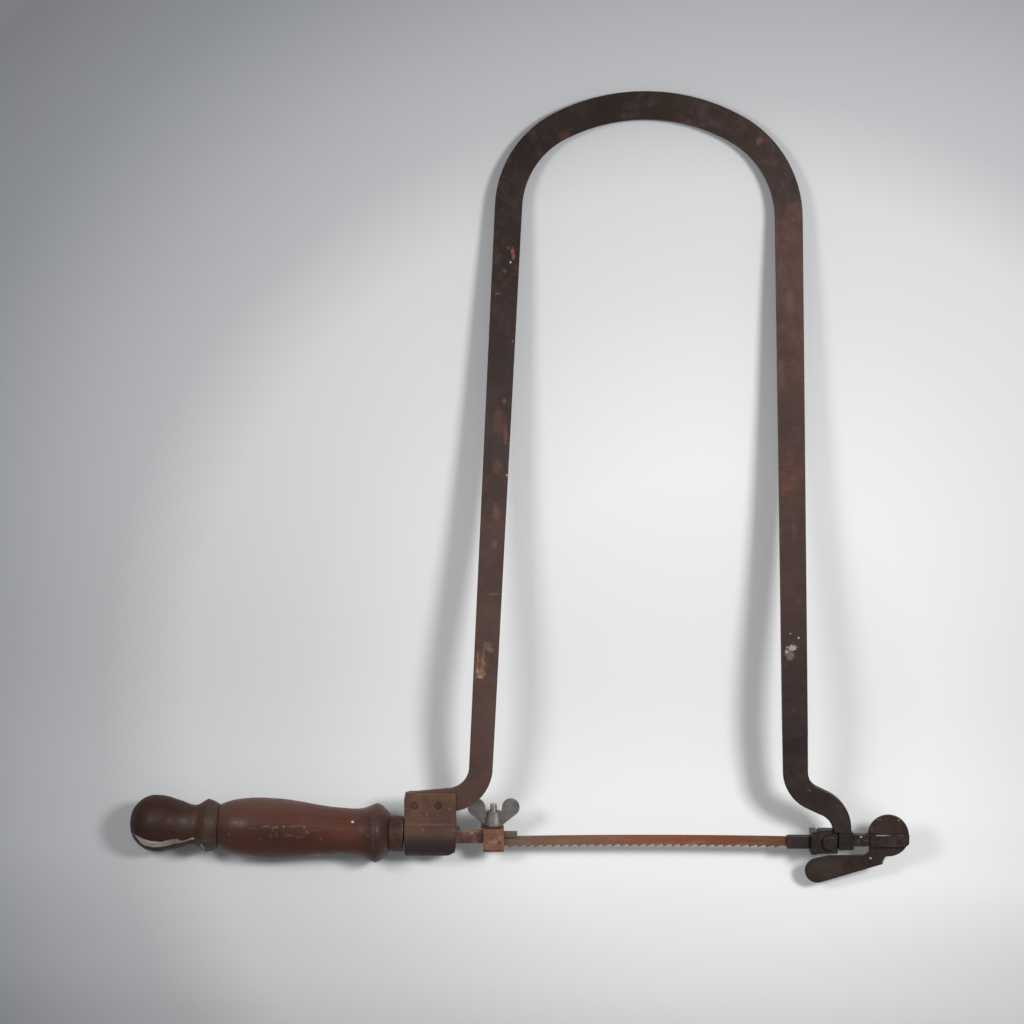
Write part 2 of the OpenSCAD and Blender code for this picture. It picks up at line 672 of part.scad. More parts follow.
// Sliding bar: slit jaws, clamp block, plain bar through the guide, and a fork for the lever
slit_d = blade_t + 2 * run_gap;
lever_slot = lever_t + 2 * run_gap;
cam_reach = norm([cam_back, cam_up]) + cam_r;
slot_x = pivot_x - cam_reach - face_gap;
fork_chamfer = fork_h * 0.27;
fork_top = slide_rise + fork_h / 2;
fork_low = slide_rise - fork_h / 2;
block_top = block_rise + block_h / 2;
toe_notch_x = toe_end_x - toe_w / 2 - face_gap * 2;
module drawbar() {
    color(iron) difference() {
        union() {
            bar_block(jaw_tip_x, jaw_l + collar_l + over, jaw_h, jaw_d, -jaw_drop);
            flat_piece(block_d) polygon([
                [block_x, block_top - block_bevel], [block_x, block_top - block_h],
                [block_x + block_l, block_top - block_h], [block_x + block_l, block_top],
                [block_x + block_bevel, block_top]]);
            bar_block(block_x + block_l, guide_l + slide_gap + face_gap, slide_h, slide_d);
            flat_piece(fork_d) polygon([
                [fork_x, fork_top], [fork_x, fork_low], [fork_end_x - fork_chamfer, fork_low],
                [fork_end_x, fork_low + fork_chamfer], [fork_end_x, fork_top]]);
        }
        bar_block(jaw_tip_x - over, bolt_x + bolt_head_r * 0.7 - jaw_tip_x + over,
            block_h + 2 * over, slit_d, block_rise);
        bar_block(slot_x, fork_end_x - slot_x + over, fork_h + 2 * over, lever_slot);
        translate([toe_notch_x, guide_top - face_gap, bow_back - face_gap])
            cube([block_l, block_h, block_d]);
        translate([bolt_x, 0, -block_d])
            cylinder(h = block_d * 2, r = bolt_r + bush_gap);
        translate([pivot_x, 0, -fork_d]) cylinder(h = fork_d * 2, r = pivot_r + bush_gap);
    }
}

// Square collar round the jaws, hard against the block
module jaw_collar() {
    color(iron) difference() {
        bar_block(collar_x, collar_l, collar_h, collar_d, 0);
        bar_block(collar_x - over, collar_l + 2 * over, jaw_h + 2 * bush_gap, jaw_d + 2 * bush_gap,
            -jaw_drop);
    }
}

// Round-headed bolt through the block, which pinches the slit jaws on the blade
bolt_tail = face_gap * 2;
head_edge = bolt_head_h * 0.45;
module clamp_bolt() {
    color(iron) translate([bolt_x, 0, 0]) union() {
        translate([0, 0, -block_d / 2 - run_gap - bolt_nut_t - bolt_tail])
            cylinder(h = block_d + run_gap + bolt_nut_t + bolt_tail, r = bolt_r);
        translate([0, 0, block_d / 2]) rotate_extrude() polygon(concat(
            [[0, 0], [bolt_head_r, 0]],
            [for (a = [0 : 15 : 75]) [bolt_head_r * (0.6 + 0.4 * cos(a)),
                head_edge + (bolt_head_h - head_edge) * sin(a)]],
            [[0, bolt_head_h]]));
    }
}

// Square nut behind the block
module clamp_nut() {
    color(iron) translate([bolt_x, 0, -block_d / 2 - run_gap - bolt_nut_t])
        difference() {
            translate([-bolt_nut_side / 2, -bolt_nut_side / 2, 0])
                cube([bolt_nut_side, bolt_nut_side, bolt_nut_t]);
            translate([0, 0, -over]) cylinder(h = bolt_nut_t + 2 * over, r = bolt_r + run_gap);
        }
}

// Rivet through the fork that the lever turns on
module cam_rivet() {
    color(iron) translate([pivot_x, 0, -fork_d / 2]) cylinder(h = fork_d, r = pivot_r);
}

// Lever cut from plate: a round cam set off its pivot and a long arm back under the block.
// Its outline is drawn about the pivot.
cam_middle = [-cam_back, cam_up];
arm_middle = [-arm_l, -arm_drop];
fillet_x = -cam_back - cam_r * 0.92;
heel_x = -cam_back - cam_r * 0.26;
heel_drop = cam_r * 1.13;
arm_slope = atan2(arm_drop - heel_drop, arm_l + heel_x)
    + asin(arm_end_r / norm([arm_l + heel_x, arm_drop - heel_drop]));
// Angles about the cam's middle: where its heel starts, where it is round, and where its arm starts
heel_turn = -94;
round_turn = 10;
arm_turn = 203;
// Turn over which the cam grows to its full heel
growth_turn = 50;
cam_heel = [for (a = [heel_turn : arc_step * 2 : round_turn - arc_step])
    cam_middle + cam_r * (1 + cam_growth * min(1, (round_turn - a) / growth_turn)) * [cos(a), sin(a)]];
lever_outline = concat(
    cam_heel,
    arc(cam_middle, cam_r, round_turn, arm_turn),
    arc([fillet_x - arm_fillet_r, arm_fillet_r - arm_top], arm_fillet_r, 0, -90),
    [[arm_end_r - arm_l, -arm_top * 1.04]],
    arc(arm_middle, arm_end_r, 100, 270 + arm_slope),
    [[heel_x, -heel_drop], [heel_x + cam_r * 0.03, -heel_drop + cam_r * 0.16],
     [heel_x + cam_r * 0.1, -heel_drop + cam_r * 0.31]]);
module cam_lever() {
    color(iron) translate([pivot_x, 0, 0]) difference() {
        flat_piece(lever_t) polygon(lever_outline);
        translate([0, 0, -lever_t]) cylinder(h = lever_t * 2, r = pivot_r + run_gap);
    }
}

frame_bow();
frame_toe();
guide_sleeve();
handle_bracket();
bracket_rivets();
barrel_bush();
rear_bar();
bar_key();
clamp_stud();
blade_saddle();
square_washer();
wing_nut();
blade();
handle_ferrule();
handle_grip();
grip_brad();
end_knob();
knob_nut();
drawbar();
jaw_collar();
clamp_bolt();
clamp_nut();
cam_rivet();
cam_lever();
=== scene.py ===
import math

import bmesh
import bpy
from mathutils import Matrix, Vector, noise


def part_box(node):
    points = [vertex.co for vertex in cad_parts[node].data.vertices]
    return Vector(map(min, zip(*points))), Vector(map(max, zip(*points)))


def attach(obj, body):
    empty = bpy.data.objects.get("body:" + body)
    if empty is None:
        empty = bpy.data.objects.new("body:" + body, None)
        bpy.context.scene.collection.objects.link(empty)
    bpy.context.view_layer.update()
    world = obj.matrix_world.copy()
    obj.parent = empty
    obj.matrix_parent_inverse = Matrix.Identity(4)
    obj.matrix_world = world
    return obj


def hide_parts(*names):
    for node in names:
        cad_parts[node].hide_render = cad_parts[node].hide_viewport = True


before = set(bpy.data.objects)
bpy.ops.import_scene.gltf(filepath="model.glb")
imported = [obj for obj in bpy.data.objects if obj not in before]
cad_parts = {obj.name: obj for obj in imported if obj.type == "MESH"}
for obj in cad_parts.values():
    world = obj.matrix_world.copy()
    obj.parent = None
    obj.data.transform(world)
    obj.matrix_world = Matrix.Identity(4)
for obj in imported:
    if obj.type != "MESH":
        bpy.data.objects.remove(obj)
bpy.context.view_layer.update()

# Bow: one length of wrought flat iron, bent to an arch and filed along its edges. Handling has
# left it dark brown and nearly smooth, warmer where a hand rubs it, with old knocks and scratches.

MM = 0.001


def linear(colour):
    """A colour given as sRGB hex, in linear light."""
    parts = [int(colour[i:i + 2], 16) / 255 for i in (1, 3, 5)]
    return [c / 12.92 if c <= 0.04045 else ((c + 0.055) / 1.055) ** 2.4 for c in parts] + [1.0]


class Finish:
    """One material as it is built up: its shader, the place on the piece and its colour so far."""

    def __init__(self, name):
        self.material = bpy.data.materials.new(name)
        self.material.use_nodes = True
        self.material.node_tree.nodes.clear()
        self.shader = self.add("BsdfPrincipled")
        self.add("OutputMaterial", {"Surface": self.shader.outputs["BSDF"]})
        self.where = self.add("TexCoord").outputs["Object"]
        self.colour = None

    def add(self, kind, sockets=None, stops=(), **settings):
        """Adds one shader node with its settings and links and, for a ramp, its stops, which hold
        colours as hex or greys as numbers."""
        node = self.material.node_tree.nodes.new("ShaderNode" + kind)
        for name, value in settings.items():
            setattr(node, name, value)
        self.fit(node, sockets or {})
        while stops and len(node.color_ramp.elements) < len(stops):
            node.color_ramp.elements.new(0.5)
        for i, (at, value) in enumerate(stops):
            node.color_ramp.elements[i].position = at
            grey = isinstance(value, (int, float))
            node.color_ramp.elements[i].color = (value, value, value, 1) if grey else linear(value)
        return node

    def fit(self, node, sockets):
        """Sets or links a node's sockets, given by name or number."""
        for socket, value in sockets.items():
            if isinstance(value, bpy.types.NodeSocket):
                self.material.node_tree.links.new(value, node.inputs[socket])
            else:
                node.inputs[socket].default_value = value

    def cloudy(self, size_mm, stops=(), rough=0.55, detail=5.0, stretch=(1, 1, 1)):
        """Cloudy patches about that many millimetres across, plain or with a tone for each level."""
        spread = self.add("Mapping", {"Vector": self.where, "Scale": stretch}).outputs[0]
        cloud = self.add("TexNoise", {"Vector": spread, "Scale": 1000 / size_mm, "Detail": detail,
                                      "Roughness": rough}).outputs["Fac"]
        if stops:
            cloud = self.add("ValToRGB", {"Fac": cloud}, stops).outputs["Color"]
        return cloud

    def lay(self, tint, *shares):
        """Lays a tint over the colour so far, as strongly as all the shares multiplied."""
        share = shares[0]
        for other in shares[1:]:
            share = self.add("Math", {0: share, 1: other}, operation="MULTIPLY").outputs[0]
        top = linear(tint) if isinstance(tint, str) else tint
        self.colour = self.add("Mix", {0: share, 6: self.colour, 7: top}, data_type="RGBA").outputs[2]
        self.fit(self.shader, {"Base Color": self.colour})

    def spot(self, centre_mm, size_mm, fray=0.5, ragged=0.0, edge=0.3):
        """1 inside an ellipsoid of those half sizes and 0 outside, its rim frayed by a pattern where
        it is ragged."""
        shift = self.add("VectorMath", {0: self.where, 1: [c * MM for c in centre_mm]}, operation="SUBTRACT")
        share = self.add("VectorMath", {0: shift.outputs[0], 1: [1 / (s * MM) for s in size_mm]},
                         operation="MULTIPLY")
        far = self.add("VectorMath", {0: share.outputs[0]}, operation="LENGTH").outputs["Value"]
        worn = self.add("Math", {0: fray, 1: -2 * ragged, 2: far}, operation="MULTIPLY_ADD").outputs[0]
        return self.add("MapRange", {"Value": worn, "From Min": 1 - ragged,
                                     "From Max": 1 - ragged - edge}).outputs[0]

    def mark(self, marks, fray_mm=1.1, ragged=0.9):
        """Lays marks of use, each given as centre and half sizes in mm, tint and strength, and broken
        up inside."""
        fray = self.cloudy(fray_mm, rough=0.75, detail=8)
        broken = self.cloudy(0.9, [(0.38, 0.35), (0.56, 1.0)], rough=0.85, detail=8)
        for centre, size, tint, strength in marks:
            self.lay(tint, self.spot(centre, size, fray, ragged), strength, broken)


def old_iron(name, tones, gloss, patches_mm, metal=0.35, relief_mm=0.2):
    """Wrought iron under an old brown patina: broad cloudy patches, rust freckles and pits that
    catch the light, half metal and half oxide in its sheen. The pits are drawn 0.7 mm wide, about
    three times their real width, so that they show."""
    dark, mid, warm = tones
    iron = Finish(name)
    iron.colour = iron.cloudy(patches_mm, [(0.32, dark), (0.5, mid), (0.68, warm)], rough=0.6)
    iron.lay(warm, iron.cloudy(2.6, [(0.56, 0.0), (0.72, 0.55)], rough=0.7))
    iron.lay(dark, iron.cloudy(9, [(0.3, 0.6), (0.5, 0.0)], rough=0.65))
    pits = iron.cloudy(2 / 3, rough=0.5, detail=3.0)
    dents = iron.cloudy(4.5, rough=0.5)
    height = iron.add("Math", {0: pits, 1: 0.3, 2: dents}, operation="MULTIPLY_ADD").outputs[0]
    bump = iron.add("Bump", {"Height": height, "Strength": 1.0, "Distance": relief_mm * MM})
    shine = iron.cloudy(7, [(0.3, gloss - 0.1), (0.7, gloss + 0.13)])
    # Oxide is dusty, so it mirrors the room less than clean metal or paint would.
    iron.fit(iron.shader, {"Metallic": metal, "Specular IOR Level": 0.22, "Roughness": shine,
                           "Normal": bump.outputs[0]})
    return iron


def worn_edge(name, thin, bare, gloss=0.38):
    """The same iron where a file and handling have taken the patina off a corner: thinner brown
    over brighter metal."""
    edge = Finish(name)
    edge.fit(edge.shader, {"Base Color": edge.cloudy(3, [(0.3, thin), (0.7, bare)]), "Metallic": 0.6,
                           "Roughness": gloss})
    return edge


def dressed(name, finishes):
    """A CAD node with its finishes, its doubled points joined."""
    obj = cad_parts[name]
    obj.data.materials.clear()
    for finish in finishes:
        obj.data.materials.append(finish.material)
    weld = obj.modifiers.new("weld", "WELD")
    weld.merge_threshold = 0.004 * MM
    return obj


def filed(name, finishes, corner_mm, rounds=2):
    """Dresses a CAD node and files its corners round. A second finish goes on the corners."""
    obj = dressed(name, finishes)
    whole = obj.modifiers.new("whole_faces", "DECIMATE")
    whole.decimate_type = "DISSOLVE"
    whole.angle_limit = math.radians(0.5)
    bevel = obj.modifiers.new("soft_corners", "BEVEL")
    bevel.width = corner_mm * MM
    bevel.segments = rounds
    bevel.limit_method = "ANGLE"
    bevel.angle_limit = math.radians(35)
    bevel.harden_normals = True
    if len(finishes) > 1:
        bevel.material = 1
    smooth = obj.modifiers.new("even_normals", "WEIGHTED_NORMAL")
    smooth.keep_sharp = True
    for face in obj.data.polygons:
        face.use_smooth = True


bow_iron = old_iron("wrought_iron_brown_patina", ("#2b2322", "#382c29", "#4a3831"), gloss=0.5, patches_mm=34)
# The patina thins where hands have rubbed the legs: warm brown low on the rear leg, a paler and
# redder brown high on the front leg, and nearly black round the crown and beside the toe. The tones
# change over the bow's height and, between the legs, from one place in X to another, in metres.
BOW_HIGH = 0.31
BOW_MIDDLE = (-0.02, 0.03)
bow_place = bow_iron.add("SeparateXYZ", {0: bow_iron.where})
bow_height = bow_iron.add("MapRange", {"Value": bow_place.outputs["Y"], "From Max": BOW_HIGH}).outputs[0]
rear_tone = bow_iron.add("ValToRGB", {"Fac": bow_height}, [
    (0.05, "#5e4740"), (0.3, "#5b4740"), (0.52, "#483a38"), (0.68, "#342826"), (0.95, "#201611")])
front_tone = bow_iron.add("ValToRGB", {"Fac": bow_height}, [
    (0.14, "#372d2c"), (0.22, "#3c2e2b"), (0.34, "#4a3731"), (0.6, "#49352f"), (0.78, "#573e35"),
    (0.86, "#382a26"), (0.97, "#2a1c13")])
front_side = bow_iron.add("MapRange", {"Value": bow_place.outputs["X"], "From Min": BOW_MIDDLE[0],
                                       "From Max": BOW_MIDDLE[1]}).outputs[0]
leg_tone = bow_iron.add("Mix", {0: front_side, 6: rear_tone.outputs["Color"],
                                7: front_tone.outputs["Color"]}, data_type="RGBA").outputs[2]
bow_iron.lay(leg_tone, bow_iron.cloudy(15, [(0.34, 0.6), (0.62, 1.0)], rough=0.6))
# Cool plum patches of handled oxide, and fields of fine orange rust.
bow_iron.lay("#4f3d44", bow_iron.cloudy(8, [(0.52, 0.0), (0.66, 0.3)], rough=0.65))
bow_iron.lay("#7a4b38", bow_iron.cloudy(21, [(0.54, 0.0), (0.67, 0.6)], rough=0.7),
             bow_iron.cloudy(1.6, rough=0.8))
# Marks of use: a long orange scar with a paler rub above it low on the rear leg, chips of orange
# rust high on that leg, a pinkish white splash with three specks on the front leg, and knocks.
bow_iron.mark([
    ((-68.9, 75.0, 4), (2.7, 6.8, 6), "#785444", 0.7), ((-69.3, 72.0, 4), (2.2, 2.6, 6), "#aa846a", 0.6),
    ((-68.0, 77.0, 4), (0.9, 3.4, 6), "#a58066", 0.5), ((-70.3, 78.0, 4), (0.5, 2.8, 6), "#a07a60", 0.6),
    ((-69.2, 70.2, 4), (1.4, 0.4, 6), "#c09c80", 0.8), ((-70.4, 73.4, 4), (0.4, 1.4, 6), "#bd977a", 0.8),
    ((-69.6, 86.0, 4), (0.8, 5.0, 6), "#65402f", 0.6), ((-66.4, 83.2, 4), (2.3, 2.2, 6), "#7c6b64", 0.6),
    ((-65.2, 81.6, 4), (1.5, 1.3, 6), "#8a776e", 0.5), ((-63.5, 105.0, 4), (2.4, 0.7, 6), "#856456", 0.5),
    ((-89.0, 21.5, 3), (12.0, 3.0, 6), "#6c5144", 0.6),
    ((-55.8, 246.4, 4), (0.9, 1.6, 6), "#9c4f38", 0.8), ((-55.4, 243.9, 4), (0.8, 1.2, 6), "#95604a", 0.7),
    ((-57.6, 247.6, 4), (0.7, 0.5, 6), "#8b4a36", 0.6), ((-56.7, 241.8, 4), (0.4, 0.5, 6), "#d8cfc8", 0.95),
    ((-59.2, 238.2, 4), (1.1, 1.0, 6), "#655b45", 0.6), ((-62.0, 228.9, 4), (1.4, 0.3, 6), "#86696a", 0.6),
    ((-55.8, 209.7, 4), (0.3, 0.8, 6), "#8b7b78", 0.6), ((-59.2, 184.9, 4), (0.9, 1.4, 6), "#85604f", 0.6),
    ((-58.6, 171.0, 4), (1.0, 5.0, 6), "#7f4f40", 0.6), ((-61.5, 176.5, 4), (2.6, 5.5, 6), "#68483c", 0.5),
    ((-58.2, 154.4, 4), (0.35, 0.6, 6), "#c9bcb4", 0.8), ((-62.0, 158.0, 4), (2.2, 3.0, 6), "#74523f", 0.45),
    ((-62.5, 139.0, 4), (1.8, 4.0, 6), "#806050", 0.5), ((-63.4, 126.0, 4), (1.3, 2.0, 6), "#86685a", 0.4),
    ((59.3, 79.8, 4), (1.9, 2.3, 6), "#9d8885", 0.6), ((60.2, 82.6, 4), (2.1, 1.2, 6), "#c3b0ac", 0.85),
    ((58.0, 81.0, 4), (0.7, 1.3, 6), "#bba7a3", 0.8), ((59.4, 81.0, 4), (0.8, 0.7, 6), "#5c4b4a", 0.7),
    ((59.4, 88.5, 4), (0.4, 0.35, 6), "#b5a39e", 0.8), ((62.8, 86.7, 4), (0.5, 0.4, 6), "#cdbfba", 0.9),
    ((60.5, 84.6, 4), (0.4, 0.35, 6), "#8d7a77", 0.6), ((61.2, 56.4, 4), (0.35, 1.6, 6), "#6b5d59", 0.5),
    ((44.5, 290.9, 4), (1.6, 1.6, 6), "#5f4f4c", 0.5), ((57.5, 226.0, 4), (2.2, 5.0, 6), "#6d564d", 0.45),
    ((54.0, 196.0, 4), (1.6, 7.0, 6), "#6a4f47", 0.4), ((60.5, 131.0, 4), (1.5, 5.0, 6), "#5f4a44", 0.35)],
    ragged=1.8)
# Scratches run across the iron about 2 mm apart, drawn wider than real ones so that they show.
bow_iron.lay("#85706a", bow_iron.cloudy(6.0, [(0.66, 0.0), (0.72, 0.3)], rough=0.8, detail=8,
                                        stretch=(0.25, 3.2, 1)))
bow_edge = worn_edge("filed_iron_corner", "#3a2d2a", "#5c4a43")
filed("frame_bow", [bow_iron, bow_edge], 0.45, rounds=3)

# Toe: the forged end of the front leg, bent to an S, brazed to the leg and down on to its guide.
# It is darker than the leg, with a thin step and a burr at the brazed joint.

toe_iron = old_iron("forged_iron_dark_patina", ("#2e2524", "#382d2a", "#453532"), gloss=0.47, patches_mm=16)
toe_iron.mark([
    ((66.6, 13.6, 4), (1.5, 1.4, 6), "#76555c", 0.6), ((67.6, 12.6, 4), (0.9, 0.4, 6), "#8a6a70", 0.5),
    ((81.0, 16.0, 4), (2.2, 2.0, 6), "#463a36", 0.5), ((60.5, 30.0, 4), (1.5, 0.35, 6), "#1d1716", 0.7),
    ((60.3, 29.8, 4), (0.35, 1.4, 6), "#1d1716", 0.6), ((60.0, 45.6, 4), (4.2, 0.3, 6), "#5a4b47", 0.6),
    ((68.0, 22.5, 4), (1.1, 0.7, 6), "#58504e", 0.6)])
toe_edge = worn_edge("forged_iron_corner", "#241d1b", "#3f3430")
filed("frame_toe", [toe_iron, toe_edge], 0.45, rounds=3)

# Guide: a square iron sleeve round the sliding bar. The toe stands on its roof in a fillet of
# braze, which has flowed a little down its front.

guide_iron = old_iron("brazed_iron_guide", ("#1f1918", "#26201e", "#332925"), gloss=0.46, patches_mm=7)
filed("guide_sleeve", [guide_iron, toe_edge], 0.3)

# The braze runs from 6 mm to 0.4 mm behind the sleeve's end, along the front edge of its roof, and
# swells by up to a third in lumps about a millimetre long.
FILLET_START, FILLET_END, FILLET_RADIUS = 6.0 * MM, 0.4 * MM, 0.5 * MM
FILLET_LIFT, FILLET_SINK = 0.08 * MM, 0.3 * MM
FILLET_SWELL, FILLET_LUMPS_PER_M = 0.3, 900
FILLET_RINGS, FILLET_SIDES = 26, 10


def lofted(rings):
    """A closed mesh through rings of points, capped at both ends."""
    bm = bmesh.new()
    rows = [[bm.verts.new(point) for point in ring] for ring in rings]
    for a, b in zip(rows, rows[1:]):
        for k in range(len(a)):
            after = (k + 1) % len(a)
            bm.faces.new((a[k], a[after], b[after], b[k]))
    bm.faces.new(rows[0])
    bm.faces.new(rows[-1])
    return bm


def made(name, bm, finish, smooth=True):
    """An object of a built mesh, in its finish."""
    bmesh.ops.recalc_face_normals(bm, faces=bm.faces)
    mesh = bpy.data.meshes.new(name)
    bm.to_mesh(mesh)
    bm.free()
    for face in mesh.polygons:
        face.use_smooth = smooth
    mesh.materials.append(finish.material)
    obj = bpy.data.objects.new(name, mesh)
    bpy.context.scene.collection.objects.link(obj)
    return obj


def braze_rings():
    """Rings of a low ridge along the foot of the toe, lumpy and faded out at both ends."""
    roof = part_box("guide_sleeve")[1]
    rings = []
    for i in range(FILLET_RINGS + 1):
        x = roof.x - FILLET_START + (FILLET_START - FILLET_END) * i / FILLET_RINGS
        swell = 1 + FILLET_SWELL * noise.noise(Vector((x * FILLET_LUMPS_PER_M, 0.3, 7.1)))
        fade = math.sin(math.pi * min(1, max(0.06, i / FILLET_RINGS))) ** 0.35
        r = FILLET_RADIUS * swell * fade
        turns = [2 * math.pi * k / FILLET_SIDES for k in range(FILLET_SIDES)]
        rings.append([(x, roof.y + FILLET_LIFT + r * math.cos(a), roof.z - FILLET_SINK + r * math.sin(a))
                      for a in turns])
    return rings


fillet = made("toe_braze_fillet", lofted(braze_rings()), guide_iron)
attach(fillet, "frame")

# Bracket: one piece of mild steel sheet folded round the barrel and up on both sides of the bow's
# foot. Its folds are rounded and it carries a light brown bloom of rust. Its barrel is painted darker from
# the fold downwards, partly a darker patina and partly painted shade where it turns under, with a pale band
# of painted highlight along it.


def rusty_steel(name, tones, gloss, patches_mm):
    """Mild steel with thin surface rust: orange and grey brown freckles a millimetre across over
    a cloudy brown, dull and slightly rough."""
    steel = old_iron(name, tones, gloss, patches_mm, metal=0.25, relief_mm=0.14)
    steel.lay(tones[2], steel.cloudy(1.3, [(0.52, 0.0), (0.7, 0.6)], rough=0.75))
    steel.lay("#8a7062", steel.cloudy(3.2, [(0.6, 0.0), (0.74, 0.3)], rough=0.7))
    return steel


def worn_round(name, finish, voxel_mm, rounds):
    """Dresses a CAD node and rounds every corner and fold of it a little, as wear does."""
    obj = dressed(name, [finish])
    remesh = obj.modifiers.new("even_mesh", "REMESH")
    remesh.mode = "VOXEL"
    remesh.voxel_size = voxel_mm * MM
    remesh.use_smooth_shade = True
    soften = obj.modifiers.new("rounded", "SMOOTH")
    soften.factor = 0.5
    soften.iterations = rounds


bracket_steel = rusty_steel("folded_steel_sheet_rust_bloom", ("#553f36", "#63483c", "#73503f"),
                            gloss=0.6, patches_mm=9)
# Partly darker patina and partly painted shade: the barrel darkens from the fold line down to its middle and
# is dark below it.
FOLD_LINE, BARREL_FULL_SHADE = 0.0104, 0.0012
bracket_height = bracket_steel.add("SeparateXYZ", {0: bracket_steel.where}).outputs["Y"]
bracket_steel.lay("#372c2d", bracket_steel.add("MapRange", {
    "Value": bracket_height, "From Min": FOLD_LINE, "From Max": BARREL_FULL_SHADE, "To Max": 0.92}).outputs[0])
bracket_steel.mark([
    # The first mark, a long pale band along the barrel at Y 8.2 mm, is a painted highlight.
    ((-90.0, 8.2, 7), (13, 0.8, 7), "#806353", 0.3), ((-82.0, 14.6, 5), (0.9, 0.6, 5), "#8a745e", 0.5),
    ((-80.8, 10.0, 5), (0.8, 4.0, 5), "#6a4538", 0.6), ((-96.3, 15.5, 5), (2.0, 2.0, 3), "#7b5d4d", 0.5),
    ((-86.3, 15.5, 5), (2.0, 2.0, 3), "#775a49", 0.5), ((-91.7, 12.7, 5), (0.5, 0.4, 5), "#967660", 0.5),
    ((-93.4, 6.3, 7), (0.5, 0.5, 5), "#8c6e5a", 0.55), ((-90.0, 10.8, 5), (7.0, 0.7, 5), "#63493c", 0.5),
    ((-80.6, 6.4, 6), (0.7, 0.5, 4), "#8a7460", 0.45), ((-84.5, 19.3, 5), (3.0, 1.2, 4), "#6d5038", 0.5)])
worn_round("handle_bracket", bracket_steel, 0.24, 9)

# Rivets: two of soft iron through the leaves and the bow's foot, hammered over and filed level, so
# that only a faint ring shows.

rivet_iron = rusty_steel("filed_rivet_iron", ("#442b26", "#503128", "#5e3d31"), gloss=0.55, patches_mm=3)
filed("bracket_rivets", [rivet_iron, bow_edge], 0.12)

# Barrel plug: a turned steel bush pushed into the folded barrel, which holds the bar in its middle.
# It is seen only as a dark ring round the bar.

bush_steel = old_iron("turned_steel_bush", ("#231d1c", "#2e2625", "#3d302b"), gloss=0.5, patches_mm=6)
filed("barrel_bush", [bush_steel, toe_edge], 0.2)

# Rear bar: square mild steel, paler along its top, partly orange rust scale and partly painted highlight, and
# darker beside the clamp.
# Its front end is filed flat for the blade and is greyer there.

bar_steel = rusty_steel("square_steel_bar_rust", ("#463434", "#684c44", "#875b47"), gloss=0.55, patches_mm=7)
# Where the grey of the tip, in X, and the scale and painted highlight on top, in Y, begin and are full, in
# metres.
GREY_TIP = (-0.0600, -0.0585)
BAR_TOP = (0.0041, 0.0045)
bar_place = bar_steel.add("SeparateXYZ", {0: bar_steel.where})
bar_steel.lay("#625b4c", bar_steel.add("MapRange", {
    "Value": bar_place.outputs["X"], "From Min": GREY_TIP[0], "From Max": GREY_TIP[1],
    "To Max": 0.75}).outputs[0])
bar_steel.lay("#2c2420", bar_steel.spot((-56.8, 4.5, 1.5), (3.4, 0.75, 3.0)), 0.85)
# Partly rust scale and partly painted highlight: the top face is paler.
bar_steel.lay("#a98a76", bar_steel.add("MapRange", {
    "Value": bar_place.outputs["Y"], "From Min": BAR_TOP[0], "From Max": BAR_TOP[1],
    "To Max": 0.7}).outputs[0], bar_steel.cloudy(2.2, [(0.35, 0.1), (0.6, 1.0)]))
bar_steel.mark([
    ((-69.6, 1.6, 2.4), (1.8, 3.2, 4), "#3b2832", 0.9), ((-75.0, 0.4, 2.4), (3.0, 0.8, 3), "#5a3c3c", 0.5),
    ((-73.0, 4.0, 2.4), (1.0, 0.5, 3), "#b39a82", 0.6)])
bar_edge = worn_edge("rusted_bar_corner", "#4b3732", "#7a5d4e", gloss=0.5)
filed("rear_bar", [bar_steel, bar_edge], 0.28)

# Key: a short zinc-coated wire pin, driven in beside the bar at the barrel's mouth to keep the bar
# from turning.


def zinc(name, dark, light, gloss=0.42):
    """Electro-zinc gone dull: grey with a faint yellow cast, cloudy in its sheen and a little
    darker in patches, over smooth steel."""
    coat = Finish(name)
    coat.colour = coat.cloudy(4.5, [(0.3, dark), (0.7, light)], rough=0.6)
    coat.lay("#5c5148", coat.cloudy(1.6, [(0.58, 0.0), (0.72, 0.5)], rough=0.75))
    bump = coat.add("Bump", {"Height": coat.cloudy(0.9), "Strength": 1.0, "Distance": 0.06 * MM})
    shine = coat.cloudy(2.8, [(0.3, gloss - 0.08), (0.7, gloss + 0.14)])
    coat.fit(coat.shader, {"Metallic": 0.75, "Roughness": shine, "Normal": bump.outputs[0]})
    return coat


filed("bar_key", [zinc("dull_zinc_key", "#6b6560", "#8c8782")], 0.25)

# Stud: a 1/8 in screwed rod, 40 threads to the inch, standing in the bar. Its thread is cut as
# one continuous helix with a chamfered end.

THREAD_PITCH, THREAD_DEEP, THREAD_SIDES = 0.635 * MM, 0.3 * MM, 28
THREAD_FADE = 0.6 * MM
CHAMFER_HIGH, CHAMFER_WIDE = 0.12 * MM, 0.25 * MM
# One turn of the thread from root to root, as shares of its pitch and its depth.
THREAD_SHAPE = [(0.0, 0.0), (0.38, 0.93), (0.5, 1.0), (0.62, 0.93)]


